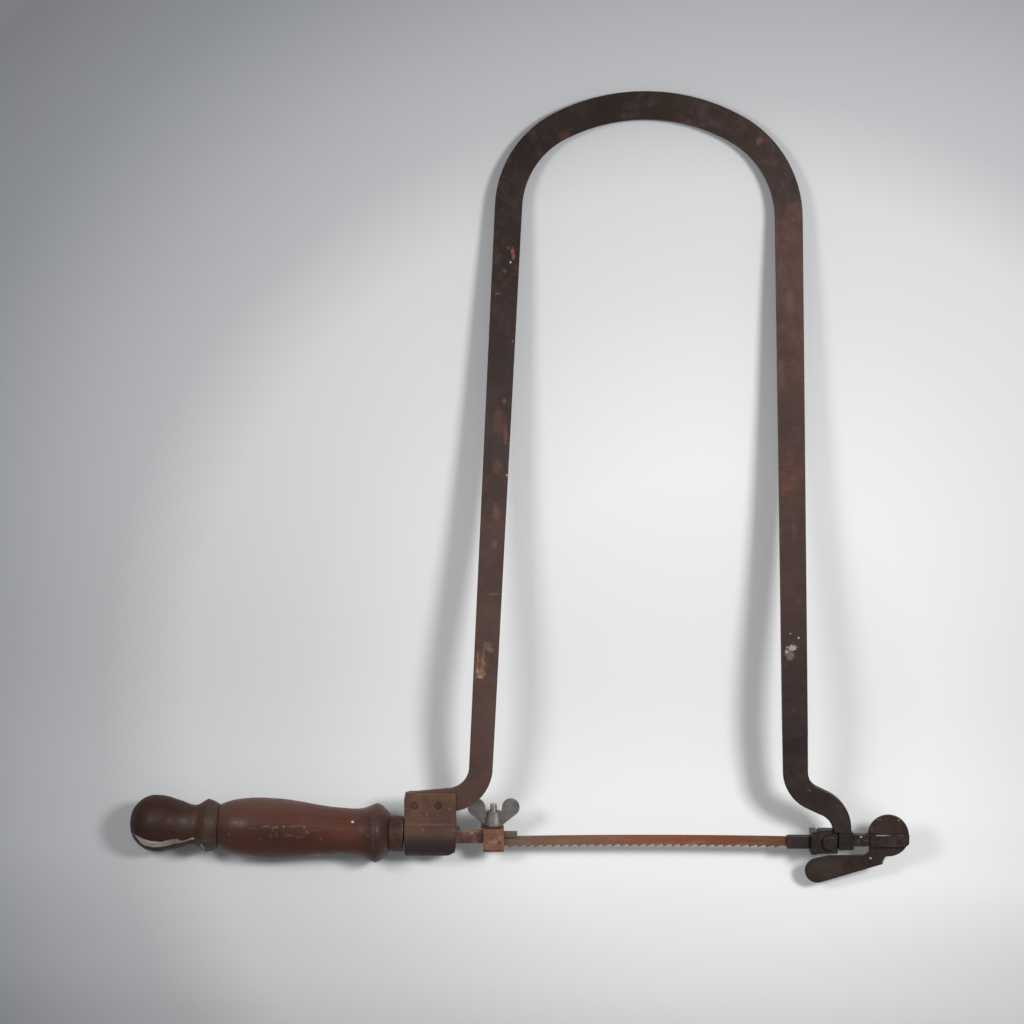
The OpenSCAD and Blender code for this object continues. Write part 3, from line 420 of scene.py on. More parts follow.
def screw_thread():
    """The stud's helix, faded out at its top, and the chamfered end above it."""
    low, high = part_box("clamp_stud")
    middle = (low + high) / 2
    crest = (high.x - low.x) / 2
    root = crest - THREAD_DEEP
    bm = bmesh.new()

    def point(r, y, k):
        a = 2 * math.pi * k / THREAD_SIDES
        return bm.verts.new((middle.x + r * math.cos(a), y, middle.z + r * math.sin(a)))

    rows = []
    for k in range(int((high.y - low.y) / THREAD_PITCH * THREAD_SIDES) + THREAD_SIDES + 1):
        row = []
        for share, depth in THREAD_SHAPE:
            y = low.y + (k / THREAD_SIDES - 1 + share) * THREAD_PITCH
            fade = min(1.0, max(0.0, (high.y - y) / THREAD_FADE))
            row.append(point(root + (crest - root) * depth * fade, min(max(y, low.y), high.y), k))
        rows.append(row)
    for k, (a, b) in enumerate(zip(rows, rows[1:])):
        for j in range(len(a) - 1):
            bm.faces.new((a[j], a[j + 1], b[j + 1], b[j]))
        if k + THREAD_SIDES + 1 < len(rows):
            c, d = rows[k + THREAD_SIDES], rows[k + THREAD_SIDES + 1]
            bm.faces.new((a[-1], c[0], d[0], b[-1]))
    bmesh.ops.remove_doubles(bm, verts=bm.verts, dist=0.002 * MM)
    rim = [point(root, high.y - CHAMFER_HIGH, k) for k in range(THREAD_SIDES)]
    end = [point(root - CHAMFER_WIDE, high.y, k) for k in range(THREAD_SIDES)]
    for k in range(THREAD_SIDES):
        after = (k + 1) % THREAD_SIDES
        bm.faces.new((rim[k], rim[after], end[after], end[k]))
    bm.faces.new(end)
    return bm


stud = made("threaded_stud", screw_thread(), zinc("zinc_screw_thread", "#7d7872", "#a8a29b", 0.34))
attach(stud, "frame")
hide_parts("clamp_stud")

# Saddle: a short strap of mild steel bent over the bar and down in front of the blade, orange
# brown all over, with a rust pit where the blade's end has worked loose.

saddle_steel = rusty_steel("bent_steel_saddle_rust", ("#684837", "#7e5946", "#966a53"),
                           gloss=0.62, patches_mm=5)
saddle_steel.mark([
    ((-61.6, 0.4, 4), (1.0, 1.1, 3), "#4d2417", 0.95), ((-63.2, 0.6, 4), (2.2, 1.3, 3), "#a98674", 0.5),
    ((-61.0, 2.0, 4), (1.2, 0.5, 3), "#9f7d68", 0.5), ((-66.8, -3.6, 4), (1.6, 1.0, 3), "#48383c", 0.8),
    ((-63.8, 3.6, 4), (5, 0.4, 3), "#5f4230", 0.5), ((-66.9, 2.6, 4), (0.8, 3.2, 3), "#64452f", 0.5)])
worn_round("blade_saddle", saddle_steel, 0.14, 7)

# Washer: a small square cut from mild steel plate, its corners filed. It has rusted to the saddle,
# pushed a little to the rear.

washer_steel = rusty_steel("square_steel_washer", ("#34272a", "#3f2f2d", "#5a4034"), gloss=0.6, patches_mm=3)
filed("square_washer", [washer_steel, rivet_iron], 0.2)

# Wing nut: cast and zinc-coated, with a tapered hub and two round flat wings that run into it in
# small fillets. It is the newest and brightest piece.

worn_round("wing_nut", zinc("cast_zinc_coated_nut", "#67625e", "#85807b", 0.56), 0.13, 9)

# Blade: a thin strip of tempered steel with punched teeth, 7 to the inch, set by turns to the left
# and right. A tan bloom of rust covers it, browner towards the middle.

BLADE_HIGH, BLADE_BOW, BARE_END = 4.0 * MM, 0.7 * MM, 4.2 * MM
TOOTH_PITCH, TOOTH_DEEP, TOOTH_SET, SET_LINE = 3.6 * MM, 0.85 * MM, 0.13 * MM, 0.5 * MM
# One tooth, as shares of its pitch and its depth: a steep front, a point and a long rounded back.
TOOTH_SHAPE = [(0.0, 0.0), (0.04, 0.6), (0.085, 1.0), (0.14, 0.9), (0.42, 0.42), (0.72, 0.02), (0.86, 0.0)]
# The first and last three teeth are left without set, so that they pass into the jaws.
UNSET_TEETH = 3


def toothed_strip():
    """The blade's mesh: rows of six points along it, bowed upwards, its teeth leaning by turns."""
    low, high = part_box("blade")
    middle = (low + high) / 2
    half, thick = (high.x - low.x) / 2, (high.z - low.z) / 2
    teeth = int((2 * half - 2 * BARE_END) / TOOTH_PITCH)
    stations = [(-half, 0.0, 0.0)]
    for i in range(teeth):
        unset = i < UNSET_TEETH or i >= teeth - UNSET_TEETH
        side = 0 if unset else 1 if i % 2 else -1
        stations += [((i + share - teeth / 2) * TOOTH_PITCH, drop * TOOTH_DEEP, side * drop)
                     for share, drop in TOOTH_SHAPE]
    stations.append((half, 0.0, 0.0))
    bm = bmesh.new()
    rows = []
    for x, drop, lean in stations:
        rise = BLADE_BOW * (1 - (x / half) ** 2)
        top, root = rise + BLADE_HIGH / 2, rise - BLADE_HIGH / 2
        profile = [(top, 0), (root + SET_LINE, 0), (root - drop, lean * TOOTH_SET)]
        rows.append([bm.verts.new((middle.x + x, y, middle.z + face * thick + shift))
                     for face in (-1, 1) for y, shift in profile])
    for a, b in zip(rows, rows[1:]):
        for i, j in ((0, 1), (1, 2), (4, 3), (5, 4), (2, 5), (3, 0)):
            bm.faces.new((a[i], a[j], b[j], b[i]))
    for row in (rows[0], rows[-1]):
        bm.faces.new((row[0], row[1], row[4], row[3]))
        bm.faces.new((row[1], row[2], row[5], row[4]))
    return bm


def blade_steel():
    """Tempered strip under a tan bloom of rust: red brown in the middle and olive by the clamp,
    streaked along its length, with darker freckles."""
    steel = Finish("tempered_steel_rust_bloom")
    along = steel.add("SeparateXYZ", {0: steel.where}).outputs["X"]
    share = steel.add("MapRange", {"Value": along, "From Min": -0.06, "From Max": 0.06}).outputs[0]
    steel.colour = steel.add("ValToRGB", {"Fac": share}, [
        (0.0, "#756553"), (0.3, "#8b624c"), (0.62, "#92523a"), (1.0, "#6d4831")]).outputs["Color"]
    steel.lay("#a07d63", steel.cloudy(5, [(0.5, 0.0), (0.7, 0.6)], rough=0.7, stretch=(0.35, 2.0, 1)))
    steel.lay("#5c3a2a", steel.cloudy(1.4, [(0.58, 0.0), (0.7, 0.6)], rough=0.8))
    bump = steel.add("Bump", {"Height": steel.cloudy(0.8), "Strength": 1.0, "Distance": 0.05 * MM})
    steel.fit(steel.shader, {"Metallic": 0.4, "Roughness": 0.46, "Normal": bump.outputs[0]})
    return steel


blade = made("set_tooth_blade", toothed_strip(), blade_steel(), smooth=False)
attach(blade, "frame")
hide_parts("blade")

# Grip: turned beech on the bar's tang, stained red brown and varnished. The varnish is dark and
# greasy at the ends and broken in small dents. It is painted paler along the top as a painted highlight and
# olive brown along the underside as painted shade.

# The handle's axis starts at the barrel's mouth and leans on the bar's.
HANDLE_TILT = math.radians(2.6)
HANDLE_MOUTH = Vector((-79.5 * MM, 2.05 * MM, 0))
TURNED_SIDES, TURNED_FINE = 112, 5


def on_axis(s, out, turn):
    """A point of the handle: s along its axis outwards from the bar, out from the axis, and turned
    about it from +Z towards +Y, all in metres and radians."""
    along = Vector((-math.cos(HANDLE_TILT), math.sin(HANDLE_TILT), 0))
    up = Vector((math.sin(HANDLE_TILT), math.cos(HANDLE_TILT), 0))
    return HANDLE_MOUTH + along * s + up * (out * math.sin(turn)) + Vector((0, 0, out * math.cos(turn)))


def smooth_through(points, fine):
    """A smooth curve through the points of a profile, with that many steps from each to the next."""
    done = []
    last = len(points) - 1
    for i in range(last):
        a, b, c, d = points[max(0, i - 1)], points[i], points[i + 1], points[min(last, i + 2)]
        for t in [k / fine for k in range(fine)]:
            done.append([0.5 * (2 * q + (r - p) * t + (2 * p - 5 * q + 4 * r - u) * t * t
                                + (3 * q - p - 3 * r + u) * t ** 3) for p, q, r, u in zip(a, b, c, d)])
    done.append(list(points[-1]))
    return done


def turned(start, long, wide, shape, dents):
    """The mesh of a turned piece, from its start along the handle, its length and its greatest
    radius in mm, and its shape in shares of both. A dent is given by its place along the handle,
    its turn, its width and its depth."""
    rings = []
    for s, r in smooth_through([(start + s * long, r * wide) for s, r in shape], TURNED_FINE):
        ring = []
        for a in [2 * math.pi * k / TURNED_SIDES for k in range(TURNED_SIDES)]:
            deep = 0.0
            for at, turn, width, depth in dents:
                off = (a - turn + math.pi) % (2 * math.pi) - math.pi
                deep += depth * math.exp(-(math.hypot(s - at, off * max(r, 1)) / width) ** 2)
            ring.append(on_axis(s * MM, max(0.02, r - deep) * MM, a))
        rings.append(ring)
    return lofted(rings)


def varnished_wood(name, tones, dirt, dirty_ends, gloss):
    """Stained beech under old varnish: broad warm and dark zones, grain lines 1.4 mm wide and pores
    0.55 mm wide drawn out along the piece, both coarser than real ones so that they show, and a
    sheen that breaks up where the varnish is worn. A dirty end is given by the X in mm where the
    dirt starts, the X where it is full, and its strength."""
    dark, mid, warm = tones
    wood = Finish(name)
    on_piece = wood.where
    # The grain follows the piece's own axis, which leans on the bar's.
    wood.where = wood.add("Mapping", {"Vector": on_piece, "Rotation": (0, 0, HANDLE_TILT)}).outputs[0]
    wood.colour = wood.cloudy(17, [(0.32, dark), (0.5, mid), (0.66, warm)], stretch=(0.5, 1, 1))
    wood.lay(dark, wood.cloudy(1.4, [(0.4, 0.42), (0.62, 0.0)], rough=0.62, detail=6, stretch=(0.08, 1, 1)))
    pores = wood.cloudy(0.55, rough=0.6, detail=3, stretch=(0.07, 1, 1))
    wood.lay("#2a1d1a", wood.add("ValToRGB", {"Fac": pores}, [(0.62, 0.0), (0.74, 0.35)]).outputs["Color"])
    along = wood.add("SeparateXYZ", {0: wood.where}).outputs["X"]
    for start, end, amount in dirty_ends:
        fade = wood.add("MapRange", {"Value": along, "From Min": start * MM, "From Max": end * MM,
                                     "To Max": amount}).outputs[0]
        wood.lay(dirt, fade, wood.cloudy(6, [(0.25, 0.6), (0.6, 1.0)]))
    height = wood.add("Math", {0: pores, 1: 0.35, 2: wood.cloudy(2.4, rough=0.6)},
                      operation="MULTIPLY_ADD").outputs[0]
    bump = wood.add("Bump", {"Height": height, "Strength": 1.0, "Distance": 0.16 * MM})
    shine = wood.cloudy(5, [(0.35, gloss - 0.08), (0.7, gloss + 0.16)])
    wood.fit(wood.shader, {"Roughness": shine, "Specular IOR Level": 0.22, "Coat Weight": 0.04,
                           "Coat Roughness": 0.3, "Normal": bump.outputs[0]})
    wood.where = on_piece
    return wood


GRIP_START, GRIP_LONG, GRIP_WIDE = 28.16, 71.3, 12.6
GRIP_SHAPE = [
    (0.0, 0.30), (0.0, 0.60), (0.004, 0.664), (0.012, 0.745), (0.034, 0.862), (0.056, 0.947), (0.076, 0.982),
    (0.097, 0.947), (0.127, 0.870), (0.158, 0.808), (0.197, 0.772), (0.259, 0.775), (0.338, 0.796),
    (0.431, 0.850), (0.525, 0.925), (0.620, 0.980), (0.714, 1.0), (0.808, 0.985), (0.878, 0.934),
    (0.926, 0.878), (0.962, 0.808), (0.990, 0.742), (0.998, 0.712), (1.0, 0.690), (1.0, 0.45), (1.0, 0.3)]
GRIP_DENTS = [
    (75.7, 0.04, 1.3, 0.25), (71, 0.3, 1.0, 0.22), (66, 0.16, 0.9, 0.16), (79, 0.27, 1.2, 0.2),
    (62.5, 0.2, 0.8, 0.2), (93, -0.3, 0.9, 0.15), (56, -0.2, 0.7, 0.15), (69, 0.0, 1.3, 0.15)]
grip_wood = varnished_wood("stained_beech_worn_varnish", ("#40251d", "#502c21", "#5e3527"), dirt="#382623",
                           dirty_ends=[(-122, -112, 0.8), (-168, -182, 0.6)], gloss=0.4)
grip_height = grip_wood.add("SeparateXYZ", {0: grip_wood.where}).outputs["Y"]
# Painted light: a paler tint along the top is a painted highlight, and an olive brown one along the underside
# is painted shade, each given from where to where it fades.
for tint, start, end in (("#6a4b42", 0.009, 0.017), ("#4a3426", 0.003, -0.006)):
    grip_wood.lay(tint, grip_wood.add("MapRange", {"Value": grip_height, "From Min": start, "From Max": end,
                                                   "To Max": 0.5}).outputs[0])
# Faint scuffs near the middle of the grip, a line of broken varnish between them, single nicks,
# and by the bead a dark ring of painted shade where a groove would be and a pale painted highlight on its
# rim.
grip_wood.mark([
    ((-158.3, 9.1, 11.5), (1.9, 0.6, 5), "#8d6b5c", 0.42),
    ((-154.3, 8.6, 11.5), (1.6, 0.6, 5), "#93705f", 0.45),
    ((-150.8, 8.9, 11.5), (0.4, 0.35, 5), "#b09588", 0.6),
    ((-146.5, 8.9, 11.5), (3.2, 0.5, 5), "#7c5b4c", 0.4),
    ((-142.3, 8.3, 11.5), (0.7, 1.0, 5), "#8d6b5c", 0.5),
    ((-141.3, 6.4, 11.5), (0.8, 1.3, 5), "#86634f", 0.4),
    ((-148.4, 5.2, 12.0), (2.6, 0.6, 5), "#7a5848", 0.35),
    ((-144.3, 4.4, 12.0), (1.6, 0.5, 5), "#7f5d4c", 0.35),
    ((-135.6, 3.4, 11.0), (0.9, 0.4, 5), "#86604d", 0.45),
    ((-160.5, 3.9, 12.0), (0.5, 0.8, 5), "#80604f", 0.4),
    ((-173.5, 5.5, 9.5), (0.8, 0.4, 5), "#8a7352", 0.45),
    ((-115.8, 4.8, 11.0), (0.6, 0.5, 5), "#7d6458", 0.5),
    # Painted shade: a dark ring beside the bead, where a groove would be.
    ((-115.8, 4.0, 0.0), (0.45, 14, 14), "#2a1a17", 0.55),
    # Painted highlight: a pale ring on the bead's rim.
    ((-113.7, 4.0, 6.0), (0.6, 8.5, 9), "#6a4d46", 0.4),
    ((-163.9, 8.2, 11.5), (1.6, 0.4, 5), "#7a5a4b", 0.3),
    ((-138.0, 7.0, 11.5), (1.8, 0.35, 5), "#74523f", 0.3)],
    fray_mm=1.0, ragged=2.0)
# A small ring-shaped bruise among them, broken where the varnish has held.
RING_CENTRE, RING_OUTER, RING_INNER = (-155.0, 5.8, 12), (1.9, 1.9, 8), (1.35, 1.35, 8)
outside_ring = grip_wood.add("Math", {0: 1.0, 1: grip_wood.spot(RING_CENTRE, RING_INNER)},
                             operation="SUBTRACT")
grip_wood.lay("#97715f", grip_wood.spot(RING_CENTRE, RING_OUTER), outside_ring.outputs[0],
              grip_wood.cloudy(1.6, [(0.4, 0.0), (0.62, 0.36)], rough=0.7))
grip = made("turned_grip", turned(GRIP_START, GRIP_LONG, GRIP_WIDE, GRIP_SHAPE, GRIP_DENTS), grip_wood)
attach(grip, "frame")
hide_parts("handle_grip")

# Ferrule: a drawn iron ring over the grip's tenon, rolled at both rims and brown with age. It keeps
# the wood from splitting.

ferrule_iron = old_iron("drawn_iron_ferrule", ("#352723", "#49352c", "#5d4437"), gloss=0.48, patches_mm=5)
filed("handle_ferrule", [ferrule_iron, bar_edge], 0.35, rounds=3)

# Brad: a small steel pin driven through the waist of the grip into the tang, with a polished round
# head. It keeps the grip from turning.

BRAD_TURN, BRAD_SIDES = math.radians(38), 20
# The pin from its hidden foot to the top of its head: distance from the axis and radius, in mm.
BRAD_SHAPE = [(2.4, 0.7), (9.5, 0.7), (9.72, 0.66), (9.84, 0.52), (9.92, 0.3), (9.95, 0.06)]


def brad_rings():
    """Rings of the pin, square to the line from the handle's axis out through its head."""
    low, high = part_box("grip_brad")
    s = (HANDLE_MOUTH.x - (low.x + high.x) / 2) / math.cos(HANDLE_TILT)
    along = (on_axis(s + MM, 0, BRAD_TURN) - on_axis(s, 0, BRAD_TURN)).normalized()
    across = (on_axis(s, MM, BRAD_TURN) - on_axis(s, 0, BRAD_TURN)).normalized().cross(along)
    turns = [2 * math.pi * k / BRAD_SIDES for k in range(BRAD_SIDES)]
    return [[on_axis(s, out * MM, BRAD_TURN) + (along * math.cos(a) + across * math.sin(a)) * r * MM
             for a in turns] for out, r in BRAD_SHAPE]


pin = made("brad_pin", lofted(brad_rings()), zinc("polished_steel_brad", "#a9a29c", "#d8d3cc", 0.26))
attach(pin, "frame")
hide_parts("grip_brad")

# End knob: turned from the same wood, nearly black with handling, its varnish and stain knocked off
# along the underside so that the pale bare wood shows in a long ragged chip.

KNOB_START, KNOB_LONG, KNOB_WIDE = 99.66, 37.2, 11.8
KNOB_SHAPE = [
    (0.0, 0.42), (0.0, 0.72), (0.003, 0.765), (0.012, 0.790), (0.045, 0.852), (0.090, 0.905), (0.128, 0.938),
    (0.142, 0.925), (0.175, 0.862), (0.225, 0.755), (0.271, 0.707), (0.330, 0.722), (0.406, 0.809),
    (0.496, 0.888), (0.586, 0.964), (0.690, 1.0), (0.780, 0.975), (0.857, 0.868), (0.915, 0.710),
    (0.965, 0.500), (0.990, 0.270), (1.0, 0.02)]
KNOB_DENTS = [(123, -0.75, 3.0, 0.35), (117, -0.8, 2.5, 0.3), (112, -0.7, 2.2, 0.25), (106, 0.2, 0.9, 0.2)]
knob_wood = varnished_wood("stained_beech_dark_handled", ("#2b1a11", "#351d13", "#412315"), dirt="#271a17",
                           dirty_ends=[(-203, -214, 0.6)], gloss=0.52)
knob_place = knob_wood.add("SeparateXYZ", {0: knob_wood.where})
# The collar is rubbed to a greyer brown, fading out over the neck.
RUBBED_COLLAR = (-0.197, -0.184)
collar_rub = knob_wood.add("MapRange", {"Value": knob_place.outputs["X"], "From Min": RUBBED_COLLAR[0],
                                        "From Max": RUBBED_COLLAR[1], "To Max": 0.75}).outputs[0]
knob_wood.lay("#4b3a30", collar_rub, knob_wood.cloudy(7, [(0.3, 0.55), (0.6, 1.0)]))
# The chip's upper and lower edge, at places along the handle, all in mm.
CHIP = [(-213.2, 4.5, 4.2), (-211.0, 3.9, 1.4), (-209.1, 3.3, 0.0), (-206.3, 2.6, -0.6), (-202.4, 2.1, -0.8),
        (-200.2, 2.5, -0.3), (-197.4, 2.9, 0.4), (-195.5, 3.1, 0.8), (-194.4, 2.1, 1.0), (-193.1, 1.8, 1.1),
        (-190.5, 2.8, 1.9), (-189.1, 3.5, 2.2), (-188.2, 2.6, 2.5)]
CHIP_REAR, CHIP_FRONT = CHIP[0][0], CHIP[-1][0]
# Heights in and beside the chip are counted from the lowest to the highest of these, in mm.
CHIP_LOW, CHIP_HIGH = -2, 6
CHIP_WAVER = 0.0013
chip_share = knob_wood.add("MapRange", {"Value": knob_place.outputs["X"], "From Min": CHIP_REAR * MM,
                                        "From Max": CHIP_FRONT * MM}).outputs[0]
upper_edge, lower_edge = [knob_wood.add("ValToRGB", {"Fac": chip_share}, [
    ((row[0] - CHIP_REAR) / (CHIP_FRONT - CHIP_REAR), (row[k] - CHIP_LOW) / (CHIP_HIGH - CHIP_LOW))
    for row in CHIP]).outputs["Color"] for k in (1, 2)]
waver = knob_wood.add("Math", {0: knob_wood.cloudy(1.8, rough=0.7), 1: CHIP_WAVER, 2: -CHIP_WAVER / 2},
                      operation="MULTIPLY_ADD").outputs[0]
wavered = knob_wood.add("Math", {0: knob_place.outputs["Y"], 1: waver}, operation="ADD").outputs[0]
chip_height = knob_wood.add("MapRange", {"Value": wavered, "From Min": CHIP_LOW * MM,
                                         "From Max": CHIP_HIGH * MM}, clamp=False).outputs[0]
below = knob_wood.add("Math", {0: upper_edge, 1: chip_height}, operation="SUBTRACT").outputs[0]
above = knob_wood.add("Math", {0: chip_height, 1: lower_edge}, operation="SUBTRACT").outputs[0]
between = knob_wood.add("Math", {0: below, 1: above}, operation="MINIMUM").outputs[0]
in_chip = knob_wood.add("MapRange", {"Value": between, "From Min": -0.005, "From Max": 0.02}).outputs[0]
front_half = knob_wood.add("MapRange", {"Value": knob_place.outputs["Z"], "From Max": 2 * MM}).outputs[0]
bare_wood = knob_wood.add("ValToRGB", {"Fac": chip_share}, [
    (0.0, "#a9a19a"), (0.3, "#b9b0a6"), (0.5, "#a0968c"), (0.66, "#83766f"), (0.8, "#9b9080"),
    (1.0, "#a89d8c")]).outputs["Color"]
streaks = knob_wood.cloudy(1.5, [(0.36, 0.0), (0.44, 0.0), (0.62, 0.55)], rough=0.8, stretch=(0.22, 1, 1))
streaked_wood = knob_wood.add("Mix", {0: streaks, 6: bare_wood, 7: linear("#6f635a")},
                              data_type="RGBA").outputs[2]
knob_wood.lay(streaked_wood, front_half, in_chip)
knob_wood.mark([
    ((-205.4, 0.8, 8.6), (1.5, 0.3, 6), "#43362f", 0.85),
    ((-208.6, 1.6, 8.6), (0.9, 0.3, 6), "#5a4c43", 0.4),
    ((-185.4, -0.2, 7.6), (0.5, 1.0, 5), "#b3a99e", 0.95),
    ((-184.6, -1.2, 7.0), (0.4, 0.8, 5), "#b3a99e", 0.9),
    ((-191.0, 10.0, 8.0), (4.5, 3.0, 6), "#574640", 0.25),
    ((-204.0, 13.5, 9.0), (4.0, 2.6, 6), "#4b2c28", 0.45),
    ((-188.0, 12.5, 7.0), (1.6, 2.4, 6), "#5c3527", 0.5)])
knob = made("turned_end_knob", turned(KNOB_START, KNOB_LONG, KNOB_WIDE, KNOB_SHAPE, KNOB_DENTS), knob_wood)
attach(knob, "knob")
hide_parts("end_knob")

# Knob nut: a six-sided, zinc-coated steel nut let into the knob's face, which runs on the tang's
# thread. The grip hides it.

filed("knob_nut", [zinc("dull_zinc_nut", "#6b6560", "#8c8782")], 0.2)

# Jaw bar: forged and filed from one piece, with slit jaws, a square clamp block, the sliding bar
# and the fork. It is nearly black and pitted where it slides. Its marks include painted shade, where the
# fork's cheek and the bolt head would throw shadow on it, and painted highlights along the top of the fork
# and the right edge of the block.

jaw_iron = old_iron("forged_iron_nearly_black", ("#2b2323", "#352c29", "#453733"), gloss=0.48, patches_mm=7,
                    relief_mm=0.24)
jaw_iron.mark([
    # Painted light among these marks: the dark patch at X 92.6 mm is a painted shadow of the fork's cheek on
    # the bar, the dark band at X 76 mm a painted shadow under the bolt head, and the pale strips along the
    # fork's top at X 99.2 and 106.6 mm and along the block's right edge at X 79.9 mm are painted highlights.
    ((90.2, 2.3, 2), (0.6, 0.45, 5), "#c5bcb6", 0.95), ((92.6, -0.6, 2), (3.0, 1.3, 5), "#2e1b18", 0.8),
    ((89.0, 0.4, 2), (0.5, 0.35, 5), "#7c716c", 0.7), ((92.4, 0.6, 2), (1.2, 0.3, 5), "#73564f", 0.7),
    ((94.6, 0.2, 2), (0.9, 0.4, 5), "#685c58", 0.6), ((79.9, 0.2, 2.6), (0.35, 2.9, 0.8), "#7f7066", 0.8),
    ((79.2, 0.3, 2.4), (0.5, 2.8, 0.8), "#4b3226", 0.8), ((99.2, 3.1, 2.7), (3.4, 0.4, 0.8), "#c7bab5", 0.9),
    ((106.6, 3.1, 2.7), (2.2, 0.35, 0.8), "#776b66", 0.6), ((76.0, -3.6, 2.6), (3.4, 0.7, 3), "#1f1919", 0.7),
    ((66.6, 0, 2.2), (1.4, 4, 4), "#352a20", 0.6), ((103.0, 0.3, 2.5), (7.5, 3.4, 6), "#43322d", 0.6),
    ((73.5, 0.2, 4.5), (5.0, 5.6, 5), "#3f3835", 0.5), ((59.8, -0.6, 2.2), (0.7, 2.2, 4), "#4d2a2a", 0.7)],
    fray_mm=0.8, ragged=0.6)
jaw_edge = worn_edge("filed_black_iron_corner", "#262020", "#443a36", gloss=0.42)
filed("drawbar", [jaw_iron, jaw_edge], 0.16)

# Collar: a square iron collar driven over the jaws against the block, its corners worn round. It
# keeps the slit from spreading.

collar_iron = old_iron("square_iron_collar", ("#28201f", "#312826", "#3f332d"), gloss=0.46, patches_mm=4)
worn_round("jaw_collar", collar_iron, 0.12, 6)

# Clamp bolt and nut: iron, a plain round head filed flat with a soft rim, and a square nut behind
# the block. They close the slit jaws on the blade.

bolt_iron = old_iron("round_headed_bolt_iron", ("#2b2424", "#342c2a", "#413531"), gloss=0.42, patches_mm=5)
filed("clamp_bolt", [bolt_iron, jaw_edge], 0.2)
filed("clamp_nut", [bolt_iron, jaw_edge], 0.3)

# Lever rivet: a small iron pin through the fork and the lever, spread and filed level with both
# cheeks of the fork.

filed("cam_rivet", [bolt_iron, jaw_edge], 0.1)

# Cam lever: cut from iron plate, the cam and arm in one, with softened corners, a few bright nicks
# and a slightly browner, rubbed arm.

lever_iron = old_iron("plate_iron_lever", ("#2b2422", "#372c28", "#43362f"), gloss=0.45, patches_mm=12)
lever_iron.mark([
    ((98.8, 4.6, 1), (3.2, 2.2, 4), "#46313c", 0.6), ((94.9, 5.2, 1), (0.5, 0.9, 3), "#74502f", 0.8),
    ((106.0, 9.1, 1), (0.6, 0.4, 3), "#a39a95", 0.85), ((94.5, -7.1, 1), (0.65, 0.5, 3), "#b7aea8", 0.95),
    ((75.9, -10.2, 1), (0.6, 1.8, 3), "#5c4b46", 0.5), ((99.2, -8.8, 1), (0.4, 0.35, 3), "#857d78", 0.8),
    ((97.6, 9.4, 1), (1.6, 0.45, 3), "#6f645f", 0.55), ((92.0, -11.0, 1), (6, 1.0, 3), "#3f2c24", 0.6),
    ((75.0, -11.5, 1), (8, 5.0, 3), "#463d33", 0.55), ((103.0, 6.0, 1), (8, 5.0, 3), "#453029", 0.45)],
    fray_mm=0.8, ragged=0.6)
filed("cam_lever", [lever_iron, jaw_edge], 0.28, rounds=3)

# Setting: the saw lies on a sheet of plain white card. The card touches the back of its crown, sinks
# in a long soft hollow under the bow, and comes up again along the handle and the end of the lever.

# The card's side profile: Y and Z in mm, from beyond the crown to the near edge.
CARD_PROFILE = [
    (6000, -18.0), (1900, -18.0), (1000, -17.5), (700, -16.0), (520, -12.5), (430, -8.0), (370, -3.5),
    (330, -0.6), (300, 0.2), (265, -2.4), (220, -6.4), (175, -10.0), (130, -14.6), (96, -19.2), (70, -23.0),
    (48, -25.0), (30, -24.2), (16, -21.2), (5, -17.4), (-5, -13.8), (-13, -10.2), (-20, -7.0), (-28, -4.8),
    (-40, -3.2), (-58, -2.6), (-80, -3.2), (-120, -8.0), (-210, -14.0), (-400, -17.0), (-900, -18.0),
    (-1900, -18.0), (-6000, -18.0)]
CARD_SIDES, CARD_REAR, CARD_FRONT, CARD_FINE = 6.0, -0.4, 0.3, 6
# The profile runs at a slight angle to the blade, along the handle, and crosses it unmoved at this X.
CARD_SLANT, CARD_PIVOT = 0.045, 0.078
BRIGHT_CENTRE, BRIGHT_SCALE = (0.025, 0.055, 0), (1.6, 1.6, 0)


def card_mesh():
    """The sheet of card, four points wide, its profile moved along Y where it is slanted."""
    bm = bmesh.new()
    rows = []
    for y, z in smooth_through(CARD_PROFILE, CARD_FINE):
        row = []
        for x in (-CARD_SIDES, CARD_REAR, CARD_FRONT, CARD_SIDES):
            slant = CARD_SLANT * (min(CARD_FRONT, max(CARD_REAR, x)) - CARD_PIVOT)
            row.append(bm.verts.new((x, y * MM - slant, z * MM)))
        rows.append(row)
    for a, b in zip(rows, rows[1:]):
        for k in range(len(a) - 1):
            bm.faces.new((a[k], a[k + 1], b[k + 1], b[k]))
    return bm


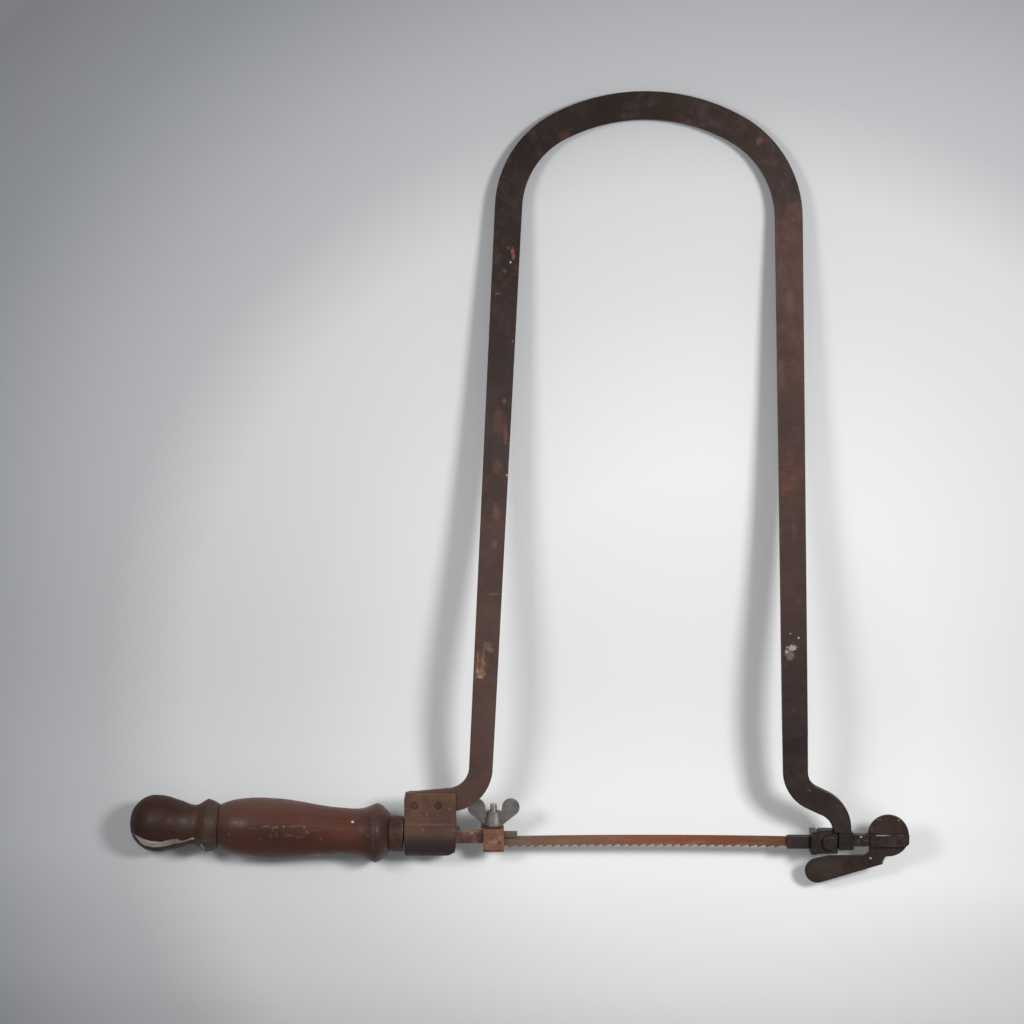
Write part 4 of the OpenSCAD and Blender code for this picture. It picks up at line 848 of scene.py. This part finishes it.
def white_card():
    """Matt white card with painted light and shade: palest under the bow, painted greyer round it as
    the lamps fall off, and painted paler again far out, against the lamps' falloff."""
    card = Finish("matt_white_card")
    centre = card.add("VectorMath", {0: card.where, 1: BRIGHT_CENTRE}, operation="SUBTRACT").outputs[0]
    share = card.add("VectorMath", {0: centre, 1: BRIGHT_SCALE}, operation="MULTIPLY").outputs[0]
    far = card.add("VectorMath", {0: share}, operation="LENGTH").outputs["Value"]
    tone = card.add("ValToRGB", {"Fac": far}, [
        (0.0, "#f0f0f0"), (0.16, "#efefef"), (0.23, "#e3e4e4"), (0.275, "#dadbdc"), (0.35, "#d0d1d2"),
        (0.41, "#b5b6b8"), (0.464, "#a9aaad"), (0.557, "#8b8d91"), (0.64, "#7a7b80"), (0.78, "#97989c"),
        (1.0, "#cfd0d2")]).outputs["Color"]
    card.fit(card.shader, {"Base Color": tone, "Roughness": 0.85, "Specular IOR Level": 0.15})
    return card


sheet = made("white_card_sweep", card_mesh(), white_card())

# Light: two soft boxes, a stronger one to the right of the camera and a weaker one to the left,
# in a plain pale room.

LIT_PLACE = Vector((0, 0.12, 0))
LAMP_SIZE = 0.18
for name, place, power in (("right_lamp", (0.43, 0.33, 0.66), 4.3), ("left_lamp", (-0.43, 0.29, 0.52), 1.5)):
    soft_box = bpy.data.lights.new(name, "AREA")
    soft_box.shape = "SQUARE"
    soft_box.size = LAMP_SIZE
    soft_box.energy = power
    lamp = bpy.data.objects.new(name, soft_box)
    bpy.context.scene.collection.objects.link(lamp)
    lamp.location = place
    lamp.rotation_euler = (LIT_PLACE - Vector(place)).to_track_quat("-Z", "Y").to_euler()

room = bpy.data.worlds.new("plain_studio")
room.use_nodes = True
room.node_tree.nodes["Background"].inputs["Color"].default_value = linear("#f2f4f6")
room.node_tree.nodes["Background"].inputs["Strength"].default_value = 0.3
bpy.context.scene.world = room

# Camera: about a metre above the card, over the rear leg, and tipped a little towards the handle
# and the blade.

CAMERA_PLACE = (-56.1 * MM, 230.7 * MM, 990.7 * MM)
CAMERA_TIP = math.radians(-5.3)
view = bpy.data.cameras.new("camera")
view.sensor_width = 36.0
view.lens = 84.375
view.clip_start = 0.01
camera = bpy.data.objects.new("camera", view)
bpy.context.scene.collection.objects.link(camera)
camera.location = CAMERA_PLACE
camera.rotation_euler = (CAMERA_TIP, 0, 0)
bpy.context.scene.camera = camera
bpy.context.scene.view_settings.view_transform = "Standard"

bpy.context.view_layer.update()
